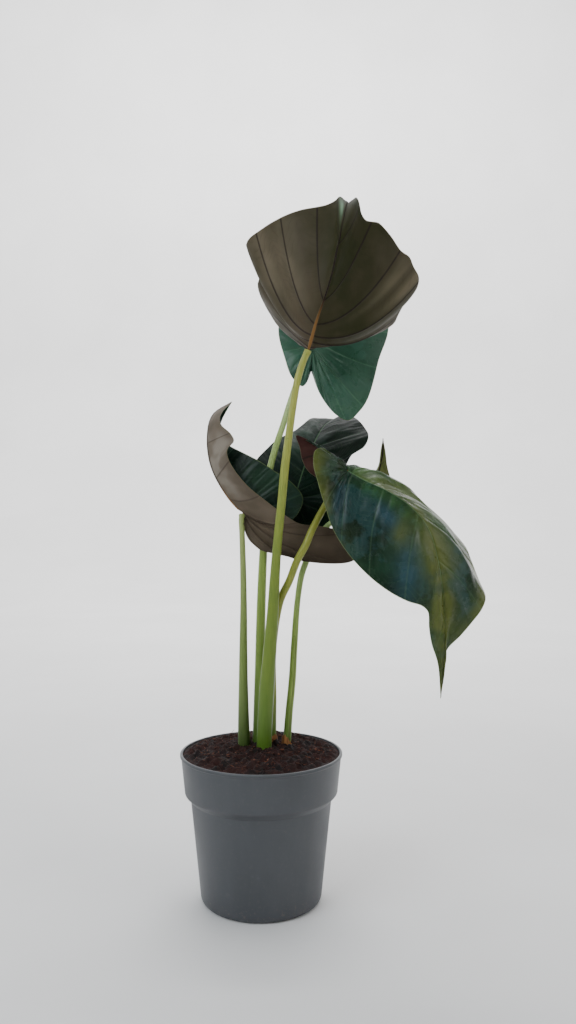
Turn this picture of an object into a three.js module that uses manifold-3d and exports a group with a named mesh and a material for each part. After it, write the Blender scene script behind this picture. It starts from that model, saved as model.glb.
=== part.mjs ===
// Potted alocasia: six shield-shaped leaves on long stalks, rooted in a stepped nursery pot full of soil.
// Millimetres, +Z up. The origin is the centre of the pot's flat base, and the plant is seen from -Y.
import * as THREE from 'three';
import { mergeVertices } from 'three/addons/utils/BufferGeometryUtils.js';
import Module from 'manifold-3d';

const wasm = await Module();
wasm.setup();

// Driving dimensions
const CLEARANCE = 0.3; // between pieces that touch

const POT = {
  height: 212.5,
  rimRadius: 117.5,
  bandFoot: 156, // the deep band under the rim ends here
  bandInside: 157, // and here on the inner wall
  bandRadius: 110.5,
  bodyTop: 147,
  bodyRadius: 102,
  baseRadius: 87.5,
  heel: 7,
  wall: 2.2,
  floor: 3,
  lip: 1.6, // how far the rolled rim stands out
  lipDepth: 5,
  lipRound: 1,
  segments: 40,
};
const DRAIN = { count: 6, radius: 5, circle: 62, sides: 12 };
const SOIL = {
  edge: 210, // height at the wall
  crown: 217.5, // height in the middle
  rings: 6,
  clods: 2.4, // height of the clods
  calm: 108, // the clods fade out towards this radius
  calmWidth: 10,
};
const CORM = {
  x: 6,
  y: 20,
  top: 180,
  bottom: 118,
  radius: 38,
  foot: 0.45, // radii up the side, as shares of the widest
  lowSide: [0.85, -12], // this one lies so far below the middle
  widest: 10, // above the middle
  shoulder: 0.92,
  segments: 20,
};
const STALK = { sides: 9, rings: 18 };
const BLADE = {
  thickness: 1,
  lobe: 0.42, // this much of the margin goes round the lobe, and side veins sweep forward beyond it
  ribHeight: 1.7, // midrib on the underside, near the stalk
  ribSwell: 0.08, // it rises to its full height over this share of its length
  ribTaper: 0.85, // and loses this share of it by the tip
  notchFade: 0.08, // the margin's waves die out over these shares of it, at the notch
  tipFade: 0.12, // and at the tip
  quiltFade: 0.15,
  waveEdge: 2.2, // powers that keep the waves to the margin and the swelling to the middle of a vein
  quiltCentre: 1.4,
  seatGap: 0.5, // between a stalk's end and the sheet above it, less where the sheet is creased
  seatDepth: 4, // how deep that cut goes, through the stalk's end
  seatColumns: 4, // the cut follows this many columns of the sheet
  columns: [0, 0.05, 0.2, 0.4, 0.62, 0.82, 1], // from midrib to margin
};
const HUSK = {
  foot: 206,
  wall: 0.9,
  gap: 0.8,
  low: 11, // heights of the torn edge
  high: 27,
  sides: 16,
  seatIn: 1.2, // its seat in the soil reaches this much further in
  seatWall: 2.55, // and is this thick
};
const TANGENT_STEP = 0.02; // share of a curve looked at on each side for its direction
const SEARCH_STEP = 0.0005; // share of a stalk, in the search for the place at a height
const WELD = 0.001; // points this close become one

const FINISH = {
  pot: { color: 0x474c51, roughness: 0.55, metalness: 0 },
  soil: { color: 0x33251e, roughness: 1, metalness: 0 },
  corm: { color: 0x6a5138, roughness: 0.9, metalness: 0 },
  husk: { color: 0x9a6a3a, roughness: 0.8, metalness: 0 },
  stalk: { color: 0x8fa046, roughness: 0.45, metalness: 0 },
  blade: { color: 0x24492f, roughness: 0.35, metalness: 0 },
};

// Where the side veins of an open leaf meet the left margin, the right margin and the midrib, as shares of
// their length, from the notch to the tip.
const OPEN_VEINS = [[0.11, 0.11, 0], [0.22, 0.22, 0], [0.33, 0.33, 0], [0.45, 0.45, 0.05],
  [0.57, 0.57, 0.17], [0.69, 0.69, 0.34], [0.82, 0.82, 0.57]];

// Each leaf: the midrib runs from the stalk to the tip, and each margin from the notch between the lobes,
// out round its lobe and up to the tip. Left and right are as seen from above, tip ahead.
// up is the way to the upper side, from the stalk on; bulge is the veins' rise to it and sweep the way they
// set off sideways before they turn to the tip, both as a share of their length. wave is
// [count, height, phase] of the margin, and quilt is the swelling between two veins. A roll draws the
// veins of one side towards shift, most at vein and none beyond spread veins from it. Each gap between two
// veins has so many rows of points.
const LEAVES = {
  // top leaf, cupped, its underside towards the viewer
  a: {
    midrib: [[67, -45, 787], [78, -72, 823], [89, -88, 852], [99, -98, 885], [107, -100, 924],
      [115, -82, 962], [121, -55, 988], [127, -20, 998]],
    left: [[56, 18, 806], [84, 48, 818], [113, 58, 823], [144, 60, 825], [166, 56, 829], [184, 50, 835],
      [197, 46, 845], [202, 38, 855], [211, 30, 867], [222, 20, 876], [228, 8, 888], [227, -4, 901],
      [218, -16, 913], [213, -24, 924], [200, -32, 931], [186, -42, 944], [174, -50, 954], [164, -56, 962],
      [155, -60, 963], [147, -62, 965], [141, -60, 974], [138, -54, 987], [134, -44, 1001]],
    right: [[56, 18, 806], [42, 50, 823], [28, 62, 841], [14, 70, 861], [2, 72, 877], [-6, 68, 893],
      [-7, 62, 908], [-1, 55, 918], [4, 48, 928], [-2, 44, 935], [-12, 36, 938], [-19, 28, 947],
      [-22, 20, 953], [-17, 8, 960], [-6, -5, 966], [10, -22, 972], [27, -36, 975], [46, -46, 979],
      [62, -54, 982], [79, -60, 984], [94, -60, 987], [104, -54, 993], [112, -44, 1002]],
    up: [[-0.2, 0.97, 0.2], [-0.2, 0.97, 0.1], [-0.2, 0.8, -0.5]],
    bulge: -0.12, sweep: 0.24, wave: [5, 2, 0.5], quilt: 3.5, rows: 5,
    veins: [[0.11, 0.1, 0], [0.22, 0.21, 0.015], [0.351, 0.36, 0.047], [0.505, 0.589, 0.078],
      [0.648, 0.698, 0.135], [0.804, 0.828, 0.267], [0.91, 0.925, 0.55]],
    rolls: [
      { side: 'left', vein: 1, spread: 2.2, shift: [0, 0, 12] },
      { side: 'right', vein: 1, spread: 2.2, shift: [0, 0, 12] },
    ],
  },
  // upright leaf at the back, its upper side towards the viewer
  b: {
    midrib: [[78, 132, 826], [82, 140, 895], [92, 190, 952], [103, 250, 982], [111, 300, 960]],
    left: [[76, 130, 786], [63, 125, 761], [47, 125, 773], [34, 128, 804], [24, 134, 845], [26, 150, 889],
      [40, 185, 944], [63, 240, 979]],
    right: [[76, 130, 786], [96, 118, 735], [115, 112, 714], [135, 108, 705], [151, 108, 718],
      [164, 110, 737], [184, 125, 803], [200, 138, 849], [198, 165, 909], [170, 215, 964],
      [139, 270, 987]],
    up: [[-0.1, -0.85, 0.45], [-0.1, -0.5, 0.85], [-0.1, 0.3, 1]],
    bulge: 0.07, sweep: 0.12, wave: [5, 2, 1], quilt: 2.5, rows: 3, veins: OPEN_VEINS, rolls: [],
  },
  // middle leaf behind the stalks, arched back over its top
  c: {
    midrib: [[49, 52, 580], [63, 66, 627], [81, 98, 671], [100, 140, 702], [124, 185, 713],
      [148, 222, 687]],
    left: [[45, 52, 527], [27, 50, 518], [4, 55, 533], [-13, 64, 571], [-17, 74, 609], [-10, 88, 641],
      [10, 104, 665], [37, 126, 683], [61, 150, 702], [89, 180, 715]],
    right: [[45, 52, 527], [64, 48, 515], [90, 52, 530], [112, 66, 571], [119, 86, 613], [137, 98, 646],
      [159, 112, 663], [167, 126, 682], [164, 144, 698], [152, 165, 711], [139, 192, 719]],
    up: [[0.1, -0.85, 0.5], [0.1, -0.4, 0.9], [0.1, 0.5, 0.85]],
    bulge: 0.06, sweep: 0.12, wave: [5, 2, 1], quilt: 2, rows: 3, veins: OPEN_VEINS, rolls: [],
  },
  // large leaf that droops to the right, folded along its midrib, its two lobes rolled apart
  d: {
    midrib: [[125, -14, 619], [147, -22, 606], [180, -34, 590], [211, -43, 568], [234, -50, 539],
      [247, -54, 496], [254, -56, 449], [257, -56, 389], [252, -50, 299]],
    left: [[121, -4, 630], [107, 4, 640], [89, 12, 652], [65, 24, 667], [51, 34, 675], [57, 42, 659],
      [61, 46, 638], [70, 42, 620], [90, 40, 607], [124, 40, 599], [165, 40, 593], [207, 42, 583],
      [245, 42, 568], [269, 38, 548], [287, 30, 526], [302, 22, 508], [310, 12, 487], [318, 0, 461],
      [323, -15, 438], [315, -25, 423], [299, -36, 406], [280, -45, 386], [261, -50, 366],
      [256, -52, 331]],
    right: [[121, -4, 630], [103, -14, 641], [86, -24, 651], [77, -30, 647], [75, -34, 628],
      [80, -38, 605], [86, -42, 581], [93, -44, 560], [102, -46, 536], [122, -50, 503], [150, -54, 472],
      [180, -58, 449], [205, -62, 436], [224, -64, 430], [232, -62, 422], [234, -60, 399], [238, -58, 377],
      [247, -55, 349]],
    up: [[0.05, -0.75, 0.65], [0.45, -0.75, 0.5], [0.3, -0.9, 0.2], [0.1, -1, 0]],
    bulge: 0.055, sweep: 0.12, wave: [4, 1.5, 0], quilt: 2.5, rows: 5,
    veins: [[0.11, 0.11, 0], [0.22, 0.22, 0], [0.33, 0.33, 0], [0.45, 0.45, 0.03], [0.57, 0.55, 0.19],
      [0.68, 0.66, 0.37], [0.79, 0.77, 0.57], [0.9, 0.89, 0.78]],
    rolls: [{ side: 'left', vein: 3.3, spread: 2.2, shift: [0, -4, 30] }],
  },
  // left leaf folded round the stalks, its underside outwards
  e: {
    midrib: [[-27, 8, 559], [-49, 12, 583], [-74, 30, 626], [-84, 64, 673], [-79, 105, 714],
      [-51, 130, 737]],
    left: [[-14, -2, 515], [-2, -6, 505], [27, -8, 498], [63, -4, 488], [133, 10, 488], [148, 18, 504],
      [123, 16, 529], [89, 10, 539], [56, 2, 543], [33, -6, 557], [10, -8, 574], [-18, -8, 596],
      [-37, -6, 618], [-47, -2, 637], [-49, 6, 651], [-41, 14, 664], [-47, 26, 677], [-63, 50, 693],
      [-64, 88, 714]],
    right: [[-14, -2, 515], [1, 8, 519], [27, 12, 534], [53, 14, 557], [61, 14, 581], [45, 14, 603],
      [20, 16, 620], [-3, 20, 635], [-30, 32, 649], [-52, 52, 663], [-66, 72, 680], [-65, 98, 704]],
    up: [[0.8, 0.4, 0.4], [0.95, 0.1, 0.1], [0.9, -0.1, -0.4]],
    bulge: -0.12, sweep: 0.12, wave: [5, 1.5, 1], quilt: 2, rows: 5,
    veins: [[0.11, 0.11, 0], [0.22, 0.22, 0], [0.33, 0.33, 0], [0.45, 0.45, 0.03], [0.57, 0.57, 0.14],
      [0.69, 0.69, 0.3], [0.82, 0.82, 0.55]],
    rolls: [{ side: 'right', vein: 3.3, spread: 3.3, shift: [-26, 12, -4] }],
  },
  // young leaf behind the drooping one, only its tip in view
  g: {
    midrib: [[125, 46, 555], [151, 56, 583], [173, 63, 613], [182, 65, 643], [184, 64, 673]],
    left: [[117, 46, 542], [133, 52, 530], [170, 66, 548], [193, 76, 583], [196, 74, 612], [190, 68, 637]],
    right: [[117, 46, 542], [108, 52, 555], [124, 66, 578], [153, 76, 606], [173, 74, 623],
      [180, 68, 647]],
    up: [[-0.3, 0.9, 0.3], [-0.3, 0.9, 0]],
    bulge: -0.12, sweep: 0.12, wave: [3, 1, 0], quilt: 1.2, rows: 3,
    veins: [[0.14, 0.14, 0], [0.28, 0.28, 0], [0.43, 0.43, 0.02], [0.57, 0.57, 0.2], [0.71, 0.71, 0.42],
      [0.85, 0.85, 0.68]],
    rolls: [],
  },
};

// Each stalk: its centre line from the corm to the blade, and its radius at each point.
const STALKS = {
  a: {
    path: [[4, 4, 178], [4, 0, 221], [8, -6, 302], [16, -16, 405], [22, -28, 496], [30, -38, 577],
      [34, -42, 619], [41, -44, 675], [46, -44, 710], [52, -44, 745], [60, -44, 771], [67, -45, 787]],
    radius: [10.5, 11, 11, 8.5, 6.5, 6, 6, 5.2, 5, 5, 4.6, 4.2],
  },
  b: {
    path: [[-6, 22, 178], [-6, 24, 215], [-4, 25, 296], [-1, 26, 429], [2, 26, 502], [9, 32, 609],
      [19, 48, 654], [31, 75, 694], [42, 108, 734], [52, 136, 767], [63, 150, 798], [73, 148, 818],
      [78, 132, 827]],
    radius: [8, 8, 7.5, 6.5, 5.8, 5, 4.8, 4.6, 4.4, 4.2, 4, 4, 4],
  },
  c: {
    path: [[3, 43, 178], [2, 48, 213], [6, 46, 292], [13, 46, 390], [21, 56, 464], [25, 68, 509],
      [36, 74, 548], [48, 62, 575], [50, 50, 581]],
    radius: [6, 6.5, 5.5, 5, 4.6, 4.4, 4.2, 4, 4],
  },
  d: {
    path: [[13, 24, 178], [13, 26, 214], [14, 22, 282], [15, 10, 358], [26, -3, 428], [41, -14, 462],
      [52, -22, 491], [64, -24, 513], [73, -20, 534], [87, -9, 560], [104, 0, 588], [118, 0, 608],
      [124.1, -13.2, 618.6]],
    radius: [8, 8, 7.5, 6.5, 5.8, 5.4, 5.4, 5.4, 5.2, 5, 4.8, 4.4, 4],
  },
  e: {
    path: [[-23, 13, 178], [-26, 15, 222], [-27, 10, 313], [-26, 2, 431], [-27, -3, 500], [-28, -4, 530],
      [-29, 0, 549], [-28.5, 4, 555]],
    radius: [8.5, 9, 6.5, 4.8, 4.2, 4, 4, 4],
  },
  g: {
    path: [[33, 19, 178], [37, 20, 220], [40, 22, 260], [45, 25, 311], [48, 28, 362], [53, 35, 428],
      [59, 40, 465], [65, 42, 483], [76, 43, 510], [93, 43, 534], [109, 40, 548], [121, 41, 554],
      [126, 47, 556]],
    radius: [5.5, 6, 5.5, 5.4, 5, 4.4, 4.6, 4.8, 4.6, 4.2, 3.8, 3.4, 3.2],
  },
};
// Stalks with a dry husk round the foot, and the turn at which it stands highest.
const HUSK_TURN = { d: -0.9, g: -2.2 };

// A smooth curve through points, its knots spaced by the square root of the distance between them.
class SmoothCurve extends THREE.Curve {
  constructor(points) {
    super();
    this.points = points.map((p) => new THREE.Vector3(...p));
    const knots = [0];
    for (let i = 1; i < points.length; i += 1) {
      knots.push(knots[i - 1] + Math.sqrt(this.points[i].distanceTo(this.points[i - 1])));
    }
    this.knots = knots.map((k) => k / knots.at(-1));
  }

  // The slope at a knot: the two neighbouring slopes, weighted by each other's step.
  slope(i) {
    if (i === 0) return this.rise(0);
    if (i === this.points.length - 1) return this.rise(i - 1);
    const before = this.knots[i] - this.knots[i - 1];
    const after = this.knots[i + 1] - this.knots[i];
    return this.rise(i - 1).multiplyScalar(after)
      .addScaledVector(this.rise(i), before)
      .divideScalar(before + after);
  }

  rise(i) {
    return this.points[i + 1].clone().sub(this.points[i]).divideScalar(this.knots[i + 1] - this.knots[i]);
  }

  getPoint(share, target = new THREE.Vector3()) {
    let i = this.knots.findIndex((k) => k > share) - 1;
    if (i < 0) i = this.points.length - 2;
    const step = this.knots[i + 1] - this.knots[i];
    const t = Math.min((share - this.knots[i]) / step, 1);
    return target.set(0, 0, 0)
      .addScaledVector(this.points[i], 2 * t ** 3 - 3 * t ** 2 + 1)
      .addScaledVector(this.slope(i), (t ** 3 - 2 * t ** 2 + t) * step)
      .addScaledVector(this.points[i + 1], 3 * t ** 2 - 2 * t ** 3)
      .addScaledVector(this.slope(i + 1), (t ** 3 - t ** 2) * step);
  }

  // The direction of travel.
  getTangent(share, target = new THREE.Vector3()) {
    const ahead = this.getPoint(Math.min(share + TANGENT_STEP, 1));
    return target.copy(ahead).sub(this.getPoint(Math.max(share - TANGENT_STEP, 0))).normalize();
  }
}

const clamp = (value) => Math.min(Math.max(value, 0), 1);

// What a side vein joins, as shares of one margin and of the midrib. Vein counts them from the notch, 0, to
// the tip, and a place between two of them lies between their shares.
function veinEnds(leaf, side, vein) {
  const table = [[0, 0, 0], ...leaf.veins, [1, 1, 1]];
  const before = Math.min(Math.floor(vein), table.length - 2);
  const [left, right, share] = table[before]
    .map((value, i) => value + (table[before + 1][i] - value) * (vein - before));
  return { along: side === 'left' ? left : right, share };
}

// One point of a leaf's smooth sheet, on the side vein counted by vein, out from midrib to margin.
// A side vein is an arc from the midrib to the margin that bulges to the upper side and sets off sideways.
function sheetPoint(leaf, side, curves, vein, out) {
  const { along, share } = veinEnds(leaf, side, vein);
  const origin = curves.midrib.getPoint(share);
  const ahead = curves.midrib.getTangent(share);
  const end = curves.margin.getPoint(along);
  const up = curves.up.getPoint(share);
  up.addScaledVector(ahead, -up.dot(ahead)).normalize();
  const reach = end.distanceTo(origin);
  const forward = clamp((2 * along) / BLADE.lobe - 1);
  const middle = origin.clone().add(end).multiplyScalar(0.5)
    .addScaledVector(up, 2 * leaf.bulge * reach)
    .addScaledVector(ahead, -leaf.sweep * forward * reach);
  for (const roll of leaf.rolls.filter((r) => r.side === side)) {
    const pull = clamp(1 - ((vein - roll.vein) / roll.spread) ** 2);
    middle.addScaledVector(new THREE.Vector3(...roll.shift), pull);
  }
  return origin.multiplyScalar((1 - out) ** 2)
    .addScaledVector(middle, 2 * out * (1 - out))
    .addScaledVector(end, out ** 2);
}

// How far the waved, quilted sheet stands off the smooth one, towards the upper side.
function sheetRelief(leaf, side, vein, out) {
  const { along } = veinEnds(leaf, side, vein);
  const [count, height, phase] = leaf.wave;
  const fade = clamp(along / BLADE.notchFade) * clamp((1 - along) / BLADE.tipFade);
  const ripple = height * out ** BLADE.waveEdge * Math.sin(2 * Math.PI * count * along + phase);
  const fromVein = 2 * Math.abs((vein % 1) - 0.5);
  const swell = leaf.quilt * (1 - fromVein ** 2) * Math.sin(Math.PI * out) ** BLADE.quiltCentre;
  return ripple * fade + swell * clamp((1 - along) / BLADE.quiltFade);
}

// How far the midrib stands out below the sheet: not at the stalk, most soon after it, least at the tip.
function ribBelow(share) {
  return BLADE.ribHeight * clamp(share / BLADE.ribSwell) * (1 - BLADE.ribTaper * share);
}

// Unit normals at the points of a sheet, each the mean of its faces' by area.
function sheetNormals(points, faces) {
  const normals = points.map(() => new THREE.Vector3());
  for (const face of faces) {
    const [a, b, c] = face.map((i) => points[i]);
    const normal = b.clone().sub(a).cross(c.clone().sub(a));
    for (const i of face) normals[i].add(normal);
  }
  return normals.map((n) => n.normalize());
}

// The sheet of a leaf, rows of points along the side veins and between them by columns from midrib to
// margin, joined where they meet: its points, faces that look to the upper side, normals, and the midrib's
// height below it.
function leafSheet(leaf, columns) {
  const up = new SmoothCurve(leaf.up);
  up.knots = leaf.up.map((_, i) => i / (leaf.up.length - 1));
  const points = [];
  const relief = [];
  const rib = [];
  const found = new Map();
  const faces = [];
  const lastRow = leaf.rows * (leaf.veins.length + 1);
  for (const side of ['left', 'right']) {
    const margin = new SmoothCurve([...leaf[side], leaf.midrib.at(-1)]);
    const curves = { midrib: new SmoothCurve(leaf.midrib), margin, up };
    const grid = [];
    for (let row = 0; row <= lastRow; row += 1) {
      const vein = row / leaf.rows;
      grid.push(columns.map((out) => {
        const point = sheetPoint(leaf, side, curves, vein, out);
        const key = point.toArray().map((v) => v.toFixed(3)).join();
        if (!found.has(key)) {
          found.set(key, points.length);
          points.push(point);
          relief.push(sheetRelief(leaf, side, vein, out));
          rib.push(out === 0 ? ribBelow(veinEnds(leaf, side, vein).share) : 0);
        }
        return found.get(key);
      }));
    }
    for (let row = 0; row < lastRow; row += 1) {
      for (let col = 0; col < columns.length - 1; col += 1) {
        const [a, d] = grid[row].slice(col, col + 2);
        const [b, c] = grid[row + 1].slice(col, col + 2);
        for (const face of [[a, b, c], [a, c, d]]) {
          if (new Set(face).size === 3) faces.push(side === 'left' ? face : face.reverse());
        }
      }
    }
  }
  const flat = sheetNormals(points, faces);
  points.forEach((p, i) => p.addScaledVector(flat[i], relief[i]));
  return { points, faces, normals: sheetNormals(points, faces), rib };
}

// A closed skin round a sheet, above and below it, with the midrib standing out below.
function skin(sheet, above, below) {
  const { points, faces, normals, rib } = sheet;
  const count = points.length;
  const top = points.map((p, i) => p.clone().addScaledVector(normals[i], above));
  const bottom = points.map((p, i) => p.clone().addScaledVector(normals[i], -below - rib[i]));
  const edges = new Map();
  for (const [a, b, c] of faces) {
    for (const [from, to] of [[a, b], [b, c], [c, a]]) edges.set(`${from},${to}`, [from, to]);
  }
  const index = [];
  for (const [a, b, c] of faces) index.push(a, b, c, c + count, b + count, a + count);
  for (const [from, to] of edges.values()) {
    if (!edges.has(`${to},${from}`)) {
      index.push(from, from + count, to + count, from, to + count, to);
    }
  }
  return closedGeometry([...top, ...bottom], index);
}

function closedGeometry(points, index) {
  const geometry = new THREE.BufferGeometry();
  const places = points.flatMap((p) => p.toArray());
  geometry.setAttribute('position', new THREE.Float32BufferAttribute(places, 3));
  geometry.setIndex(index);
  return geometry;
}

// A round bar along a smooth path, its radius eased from point to point; grow widens and lengthens it.
function taperedBar(path, radius, grow = 0) {
  const curve = new SmoothCurve(path);
  const size = new SmoothCurve(radius.map((r) => [r, 0, 0]));
  size.knots = curve.knots;
  const points = [];
  for (let ring = 0; ring <= STALK.rings; ring += 1) {
    const share = ring / STALK.rings;
    const centre = curve.getPoint(share);
    const ahead = curve.getTangent(share);
    if (ring === 0) centre.addScaledVector(ahead, -grow);
    if (ring === STALK.rings) centre.addScaledVector(ahead, grow);
    const across = new THREE.Vector3(1, 0, 0).addScaledVector(ahead, -ahead.x).normalize();
    const other = ahead.clone().cross(across);
    for (let side = 0; side < STALK.sides; side += 1) {
      const turn = (2 * Math.PI * side) / STALK.sides;
      const reach = size.getPoint(share).x + grow;
      points.push(centre.clone()
        .addScaledVector(across, reach * Math.cos(turn))
        .addScaledVector(other, reach * Math.sin(turn)));
    }
  }
  return closedGeometry(points, barFaces(STALK.rings + 1, STALK.sides));
}

// Faces of rings of points joined into a closed bar.
function barFaces(rings, sides) {
  const index = [];
  for (let ring = 0; ring < rings - 1; ring += 1) {
    for (let side = 0; side < sides; side += 1) {
      const next = (side + 1) % sides;
      const [a, b] = [ring * sides + side, ring * sides + next];
      index.push(a, b, b + sides, a, b + sides, a + sides);
    }
  }
  const last = (rings - 1) * sides;
  for (let side = 1; side < sides - 1; side += 1) {
    index.push(0, side + 1, side, last, last + side, last + side + 1);
  }
  return index;
}

// Closed mesh to solid, and back. Crumbs that a cut leaves loose stay behind.
function solidOf(geometry) {
  const bare = geometry.clone();
  bare.deleteAttribute('normal');
  bare.deleteAttribute('uv');
  const merged = mergeVertices(bare, WELD);
  return new wasm.Manifold(new wasm.Mesh({
    numProp: 3,
    vertProperties: new Float32Array(merged.attributes.position.array),
    triVerts: new Uint32Array(merged.index.array),
  }));
}

function geometryOf(solid) {
  const [whole] = solid.decompose().sort((a, b) => b.volume() - a.volume());
  const { vertProperties, triVerts } = whole.getMesh();
  const geometry = new THREE.BufferGeometry();
  geometry.setAttribute('position', new THREE.BufferAttribute(new Float32Array(vertProperties), 3));
  geometry.setIndex(new THREE.BufferAttribute(new Uint32Array(triVerts), 1));
  return geometry;
}

// A body turned about the upright axis from [radius, height] points.
function turned(profile, segments) {
  const geometry = new THREE.LatheGeometry(profile.map(([r, z]) => new THREE.Vector2(r, z)), segments);
  return geometry.rotateX(Math.PI / 2);
}

// The pot's inner wall, from the floor up to the rim band, set in by a margin.
function innerWall(margin) {
  const inset = POT.wall + margin;
  return [
    [POT.baseRadius - POT.heel, POT.floor + margin],
    [POT.baseRadius - inset, POT.floor + margin + POT.heel - POT.wall / 2],
    [POT.bodyRadius - inset, POT.bodyTop],
    [POT.bandRadius - inset, POT.bandInside],
  ];
}

function potGeometry() {
  const { rimRadius: rim, height, heel } = POT;
  const outer = [
    [0, 0],
    [POT.baseRadius - heel, 0],
    [POT.baseRadius - heel / 3, heel / 3],
    [POT.baseRadius, heel],
    [POT.bodyRadius, POT.bodyTop],
    [POT.bandRadius, POT.bandFoot],
    [rim - POT.lip, height - POT.lipDepth],
    [rim, height - POT.lipDepth + POT.lipRound],
    [rim, height - POT.lipRound],
    [rim - POT.lipRound, height],
  ];
  const inner = [
    [rim - POT.lip - POT.wall, height],
    ...innerWall(0).reverse(),
    [0, POT.floor],
  ];
  let pot = solidOf(turned([...outer, ...inner], POT.segments));
  for (let i = 0; i < DRAIN.count; i += 1) {
    const turn = (2 * Math.PI * (i + 0.5)) / DRAIN.count;
    const hole = new THREE.CylinderGeometry(DRAIN.radius, DRAIN.radius, 4 * POT.floor, DRAIN.sides);
    hole.rotateX(Math.PI / 2);
    hole.translate(DRAIN.circle * Math.cos(turn), DRAIN.circle * Math.sin(turn), 0);
    pot = pot.subtract(solidOf(hole));
  }
  return geometryOf(pot);
}

// The corm under the soil that every stalk grows from.
function cormGeometry(grow = 0) {
  const { bottom, radius } = CORM;
  const top = CORM.top - CLEARANCE;
  const middle = (CORM.top + bottom) / 2;
  const [lowShare, below] = CORM.lowSide;
  const profile = [
    [0, bottom - grow],
    [CORM.foot * radius + grow, bottom - grow],
    [lowShare * radius + grow, middle + below],
    [radius + grow, middle + CORM.widest],
    [CORM.shoulder * radius + grow, top + grow],
    [0, top + grow],
  ];
  return turned(profile, CORM.segments).translate(CORM.x, CORM.y, 0);
}

// The height of clods on the soil at a place: three crossing waves, long to short, that fade at the wall.
function clods(x, y) {
  const broad = Math.sin(0.17 * x + 1) * Math.sin(0.15 * y + 2);
  const middling = 0.6 * Math.sin(0.31 * x - 0.23 * y);
  const small = 0.5 * Math.sin(0.36 * x + 0.27 * y + 1.7);
  const fade = clamp((SOIL.calm - Math.hypot(x, y)) / SOIL.calmWidth);
  return SOIL.clods * (broad + middling + small) * fade;
}

// The soil fills the pot, mounded and cloddy on top, with plain holes for the stalks and their husks.
function soilGeometry() {
  const slope = (POT.rimRadius - POT.lip - POT.bandRadius) / (POT.height - POT.bandInside);
  const edge = POT.bandRadius - POT.wall - CLEARANCE + slope * (SOIL.edge - POT.bandInside);
  const top = [];
  for (let ring = 0; ring < SOIL.rings; ring += 1) {
    const share = 1 - ring / SOIL.rings;
    top.push([edge * share, SOIL.crown + (SOIL.edge - SOIL.crown) * share ** 3]);
  }
  const profile = [[0, POT.floor + CLEARANCE], ...innerWall(CLEARANCE), ...top, [0, SOIL.crown]];
  const geometry = turned(profile, POT.segments);
  const place = geometry.attributes.position;
  for (let i = 0; i < place.count; i += 1) {
    if (place.getZ(i) > SOIL.edge - CLEARANCE) {
      place.setZ(i, place.getZ(i) + clods(place.getX(i), place.getY(i)));
    }
  }
  let soil = solidOf(geometry).subtract(solidOf(cormGeometry(CLEARANCE)));
  for (const { path, radius } of Object.values(STALKS)) {
    soil = soil.subtract(solidOf(taperedBar(path, radius, CLEARANCE)));
  }
  for (const name of Object.keys(HUSK_TURN)) soil = soil.subtract(solidOf(huskSeat(name)));
  return geometryOf(soil);
}

// A sleeve round a stalk, standing at foot, with a gap inside it, a wall and a height for each turn.
function sleeve(name, foot, gap, wall, heightAt) {
  const { path, radius } = STALKS[name];
  const curve = new SmoothCurve(path);
  const size = new SmoothCurve(radius.map((r) => [r, 0, 0]));
  size.knots = curve.knots;
  const shareAt = (z) => {
    let share = 0;
    while (curve.getPoint(share).z < z) share += SEARCH_STEP;
    return share;
  };
  const points = [];
  for (let side = 0; side < HUSK.sides; side += 1) {
    const turn = (2 * Math.PI * side) / HUSK.sides;
    const across = new THREE.Vector3(Math.cos(turn), Math.sin(turn), 0);
    const edge = foot + heightAt(turn);
    for (const [z, out] of [[foot, 0], [foot, wall], [edge, wall], [edge, 0]]) {
      const share = shareAt(z);
      const centre = curve.getPoint(share);
      const reach = size.getPoint(share).x + gap + out;
      points.push(new THREE.Vector3(centre.x, centre.y, z).addScaledVector(across, reach));
    }
  }
  const index = [];
  for (let side = 0; side < HUSK.sides; side += 1) {
    const next = (side + 1) % HUSK.sides;
    for (let corner = 0; corner < 4; corner += 1) {
      const after = (corner + 1) % 4;
      const [a, b] = [side * 4 + corner, side * 4 + after];
      const [c, d] = [next * 4 + after, next * 4 + corner];
      index.push(a, c, b, a, d, c);
    }
  }
  return closedGeometry(points, index);
}

// The dry husk that wraps a stalk's foot, higher on one side.
function huskGeometry(name) {
  return sleeve(name, HUSK.foot, HUSK.gap, HUSK.wall, (turn) => {
    const swing = (0.5 + 0.5 * Math.cos(turn - HUSK_TURN[name])) ** 2;
    return HUSK.low + (HUSK.high - HUSK.low) * swing;
  });
}

// The husk's seat in the soil, wider than the husk and open at the top.
function huskSeat(name) {
  return sleeve(name, HUSK.foot - CLEARANCE, HUSK.gap - HUSK.seatIn, HUSK.seatWall, () => HUSK.high);
}

// A stalk stands on the corm, and its end is cut to the underside of its blade.
function stalkGeometry(name) {
  const { path, radius } = STALKS[name];
  const around = leafSheet(LEAVES[name], BLADE.columns.slice(0, BLADE.seatColumns));
  const cutter = skin(around, BLADE.seatDepth, BLADE.thickness / 2 + BLADE.seatGap);
  const bar = solidOf(taperedBar(path, radius));
  return geometryOf(bar.subtract(solidOf(cutter)).subtract(solidOf(cormGeometry(CLEARANCE))));
}

function bladeGeometry(name) {
  return skin(leafSheet(LEAVES[name], BLADE.columns), BLADE.thickness / 2, BLADE.thickness / 2);
}

function piece(name, geometry, finish) {
  const mesh = new THREE.Mesh(geometry, new THREE.MeshStandardMaterial(finish));
  mesh.name = name;
  return mesh;
}

const root = new THREE.Group();

const potted = new THREE.Group();
potted.add(piece('pot', potGeometry(), FINISH.pot));
potted.add(piece('soil', soilGeometry(), FINISH.soil));
potted.add(piece('corm', cormGeometry(), FINISH.corm));
root.add(potted);

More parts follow.
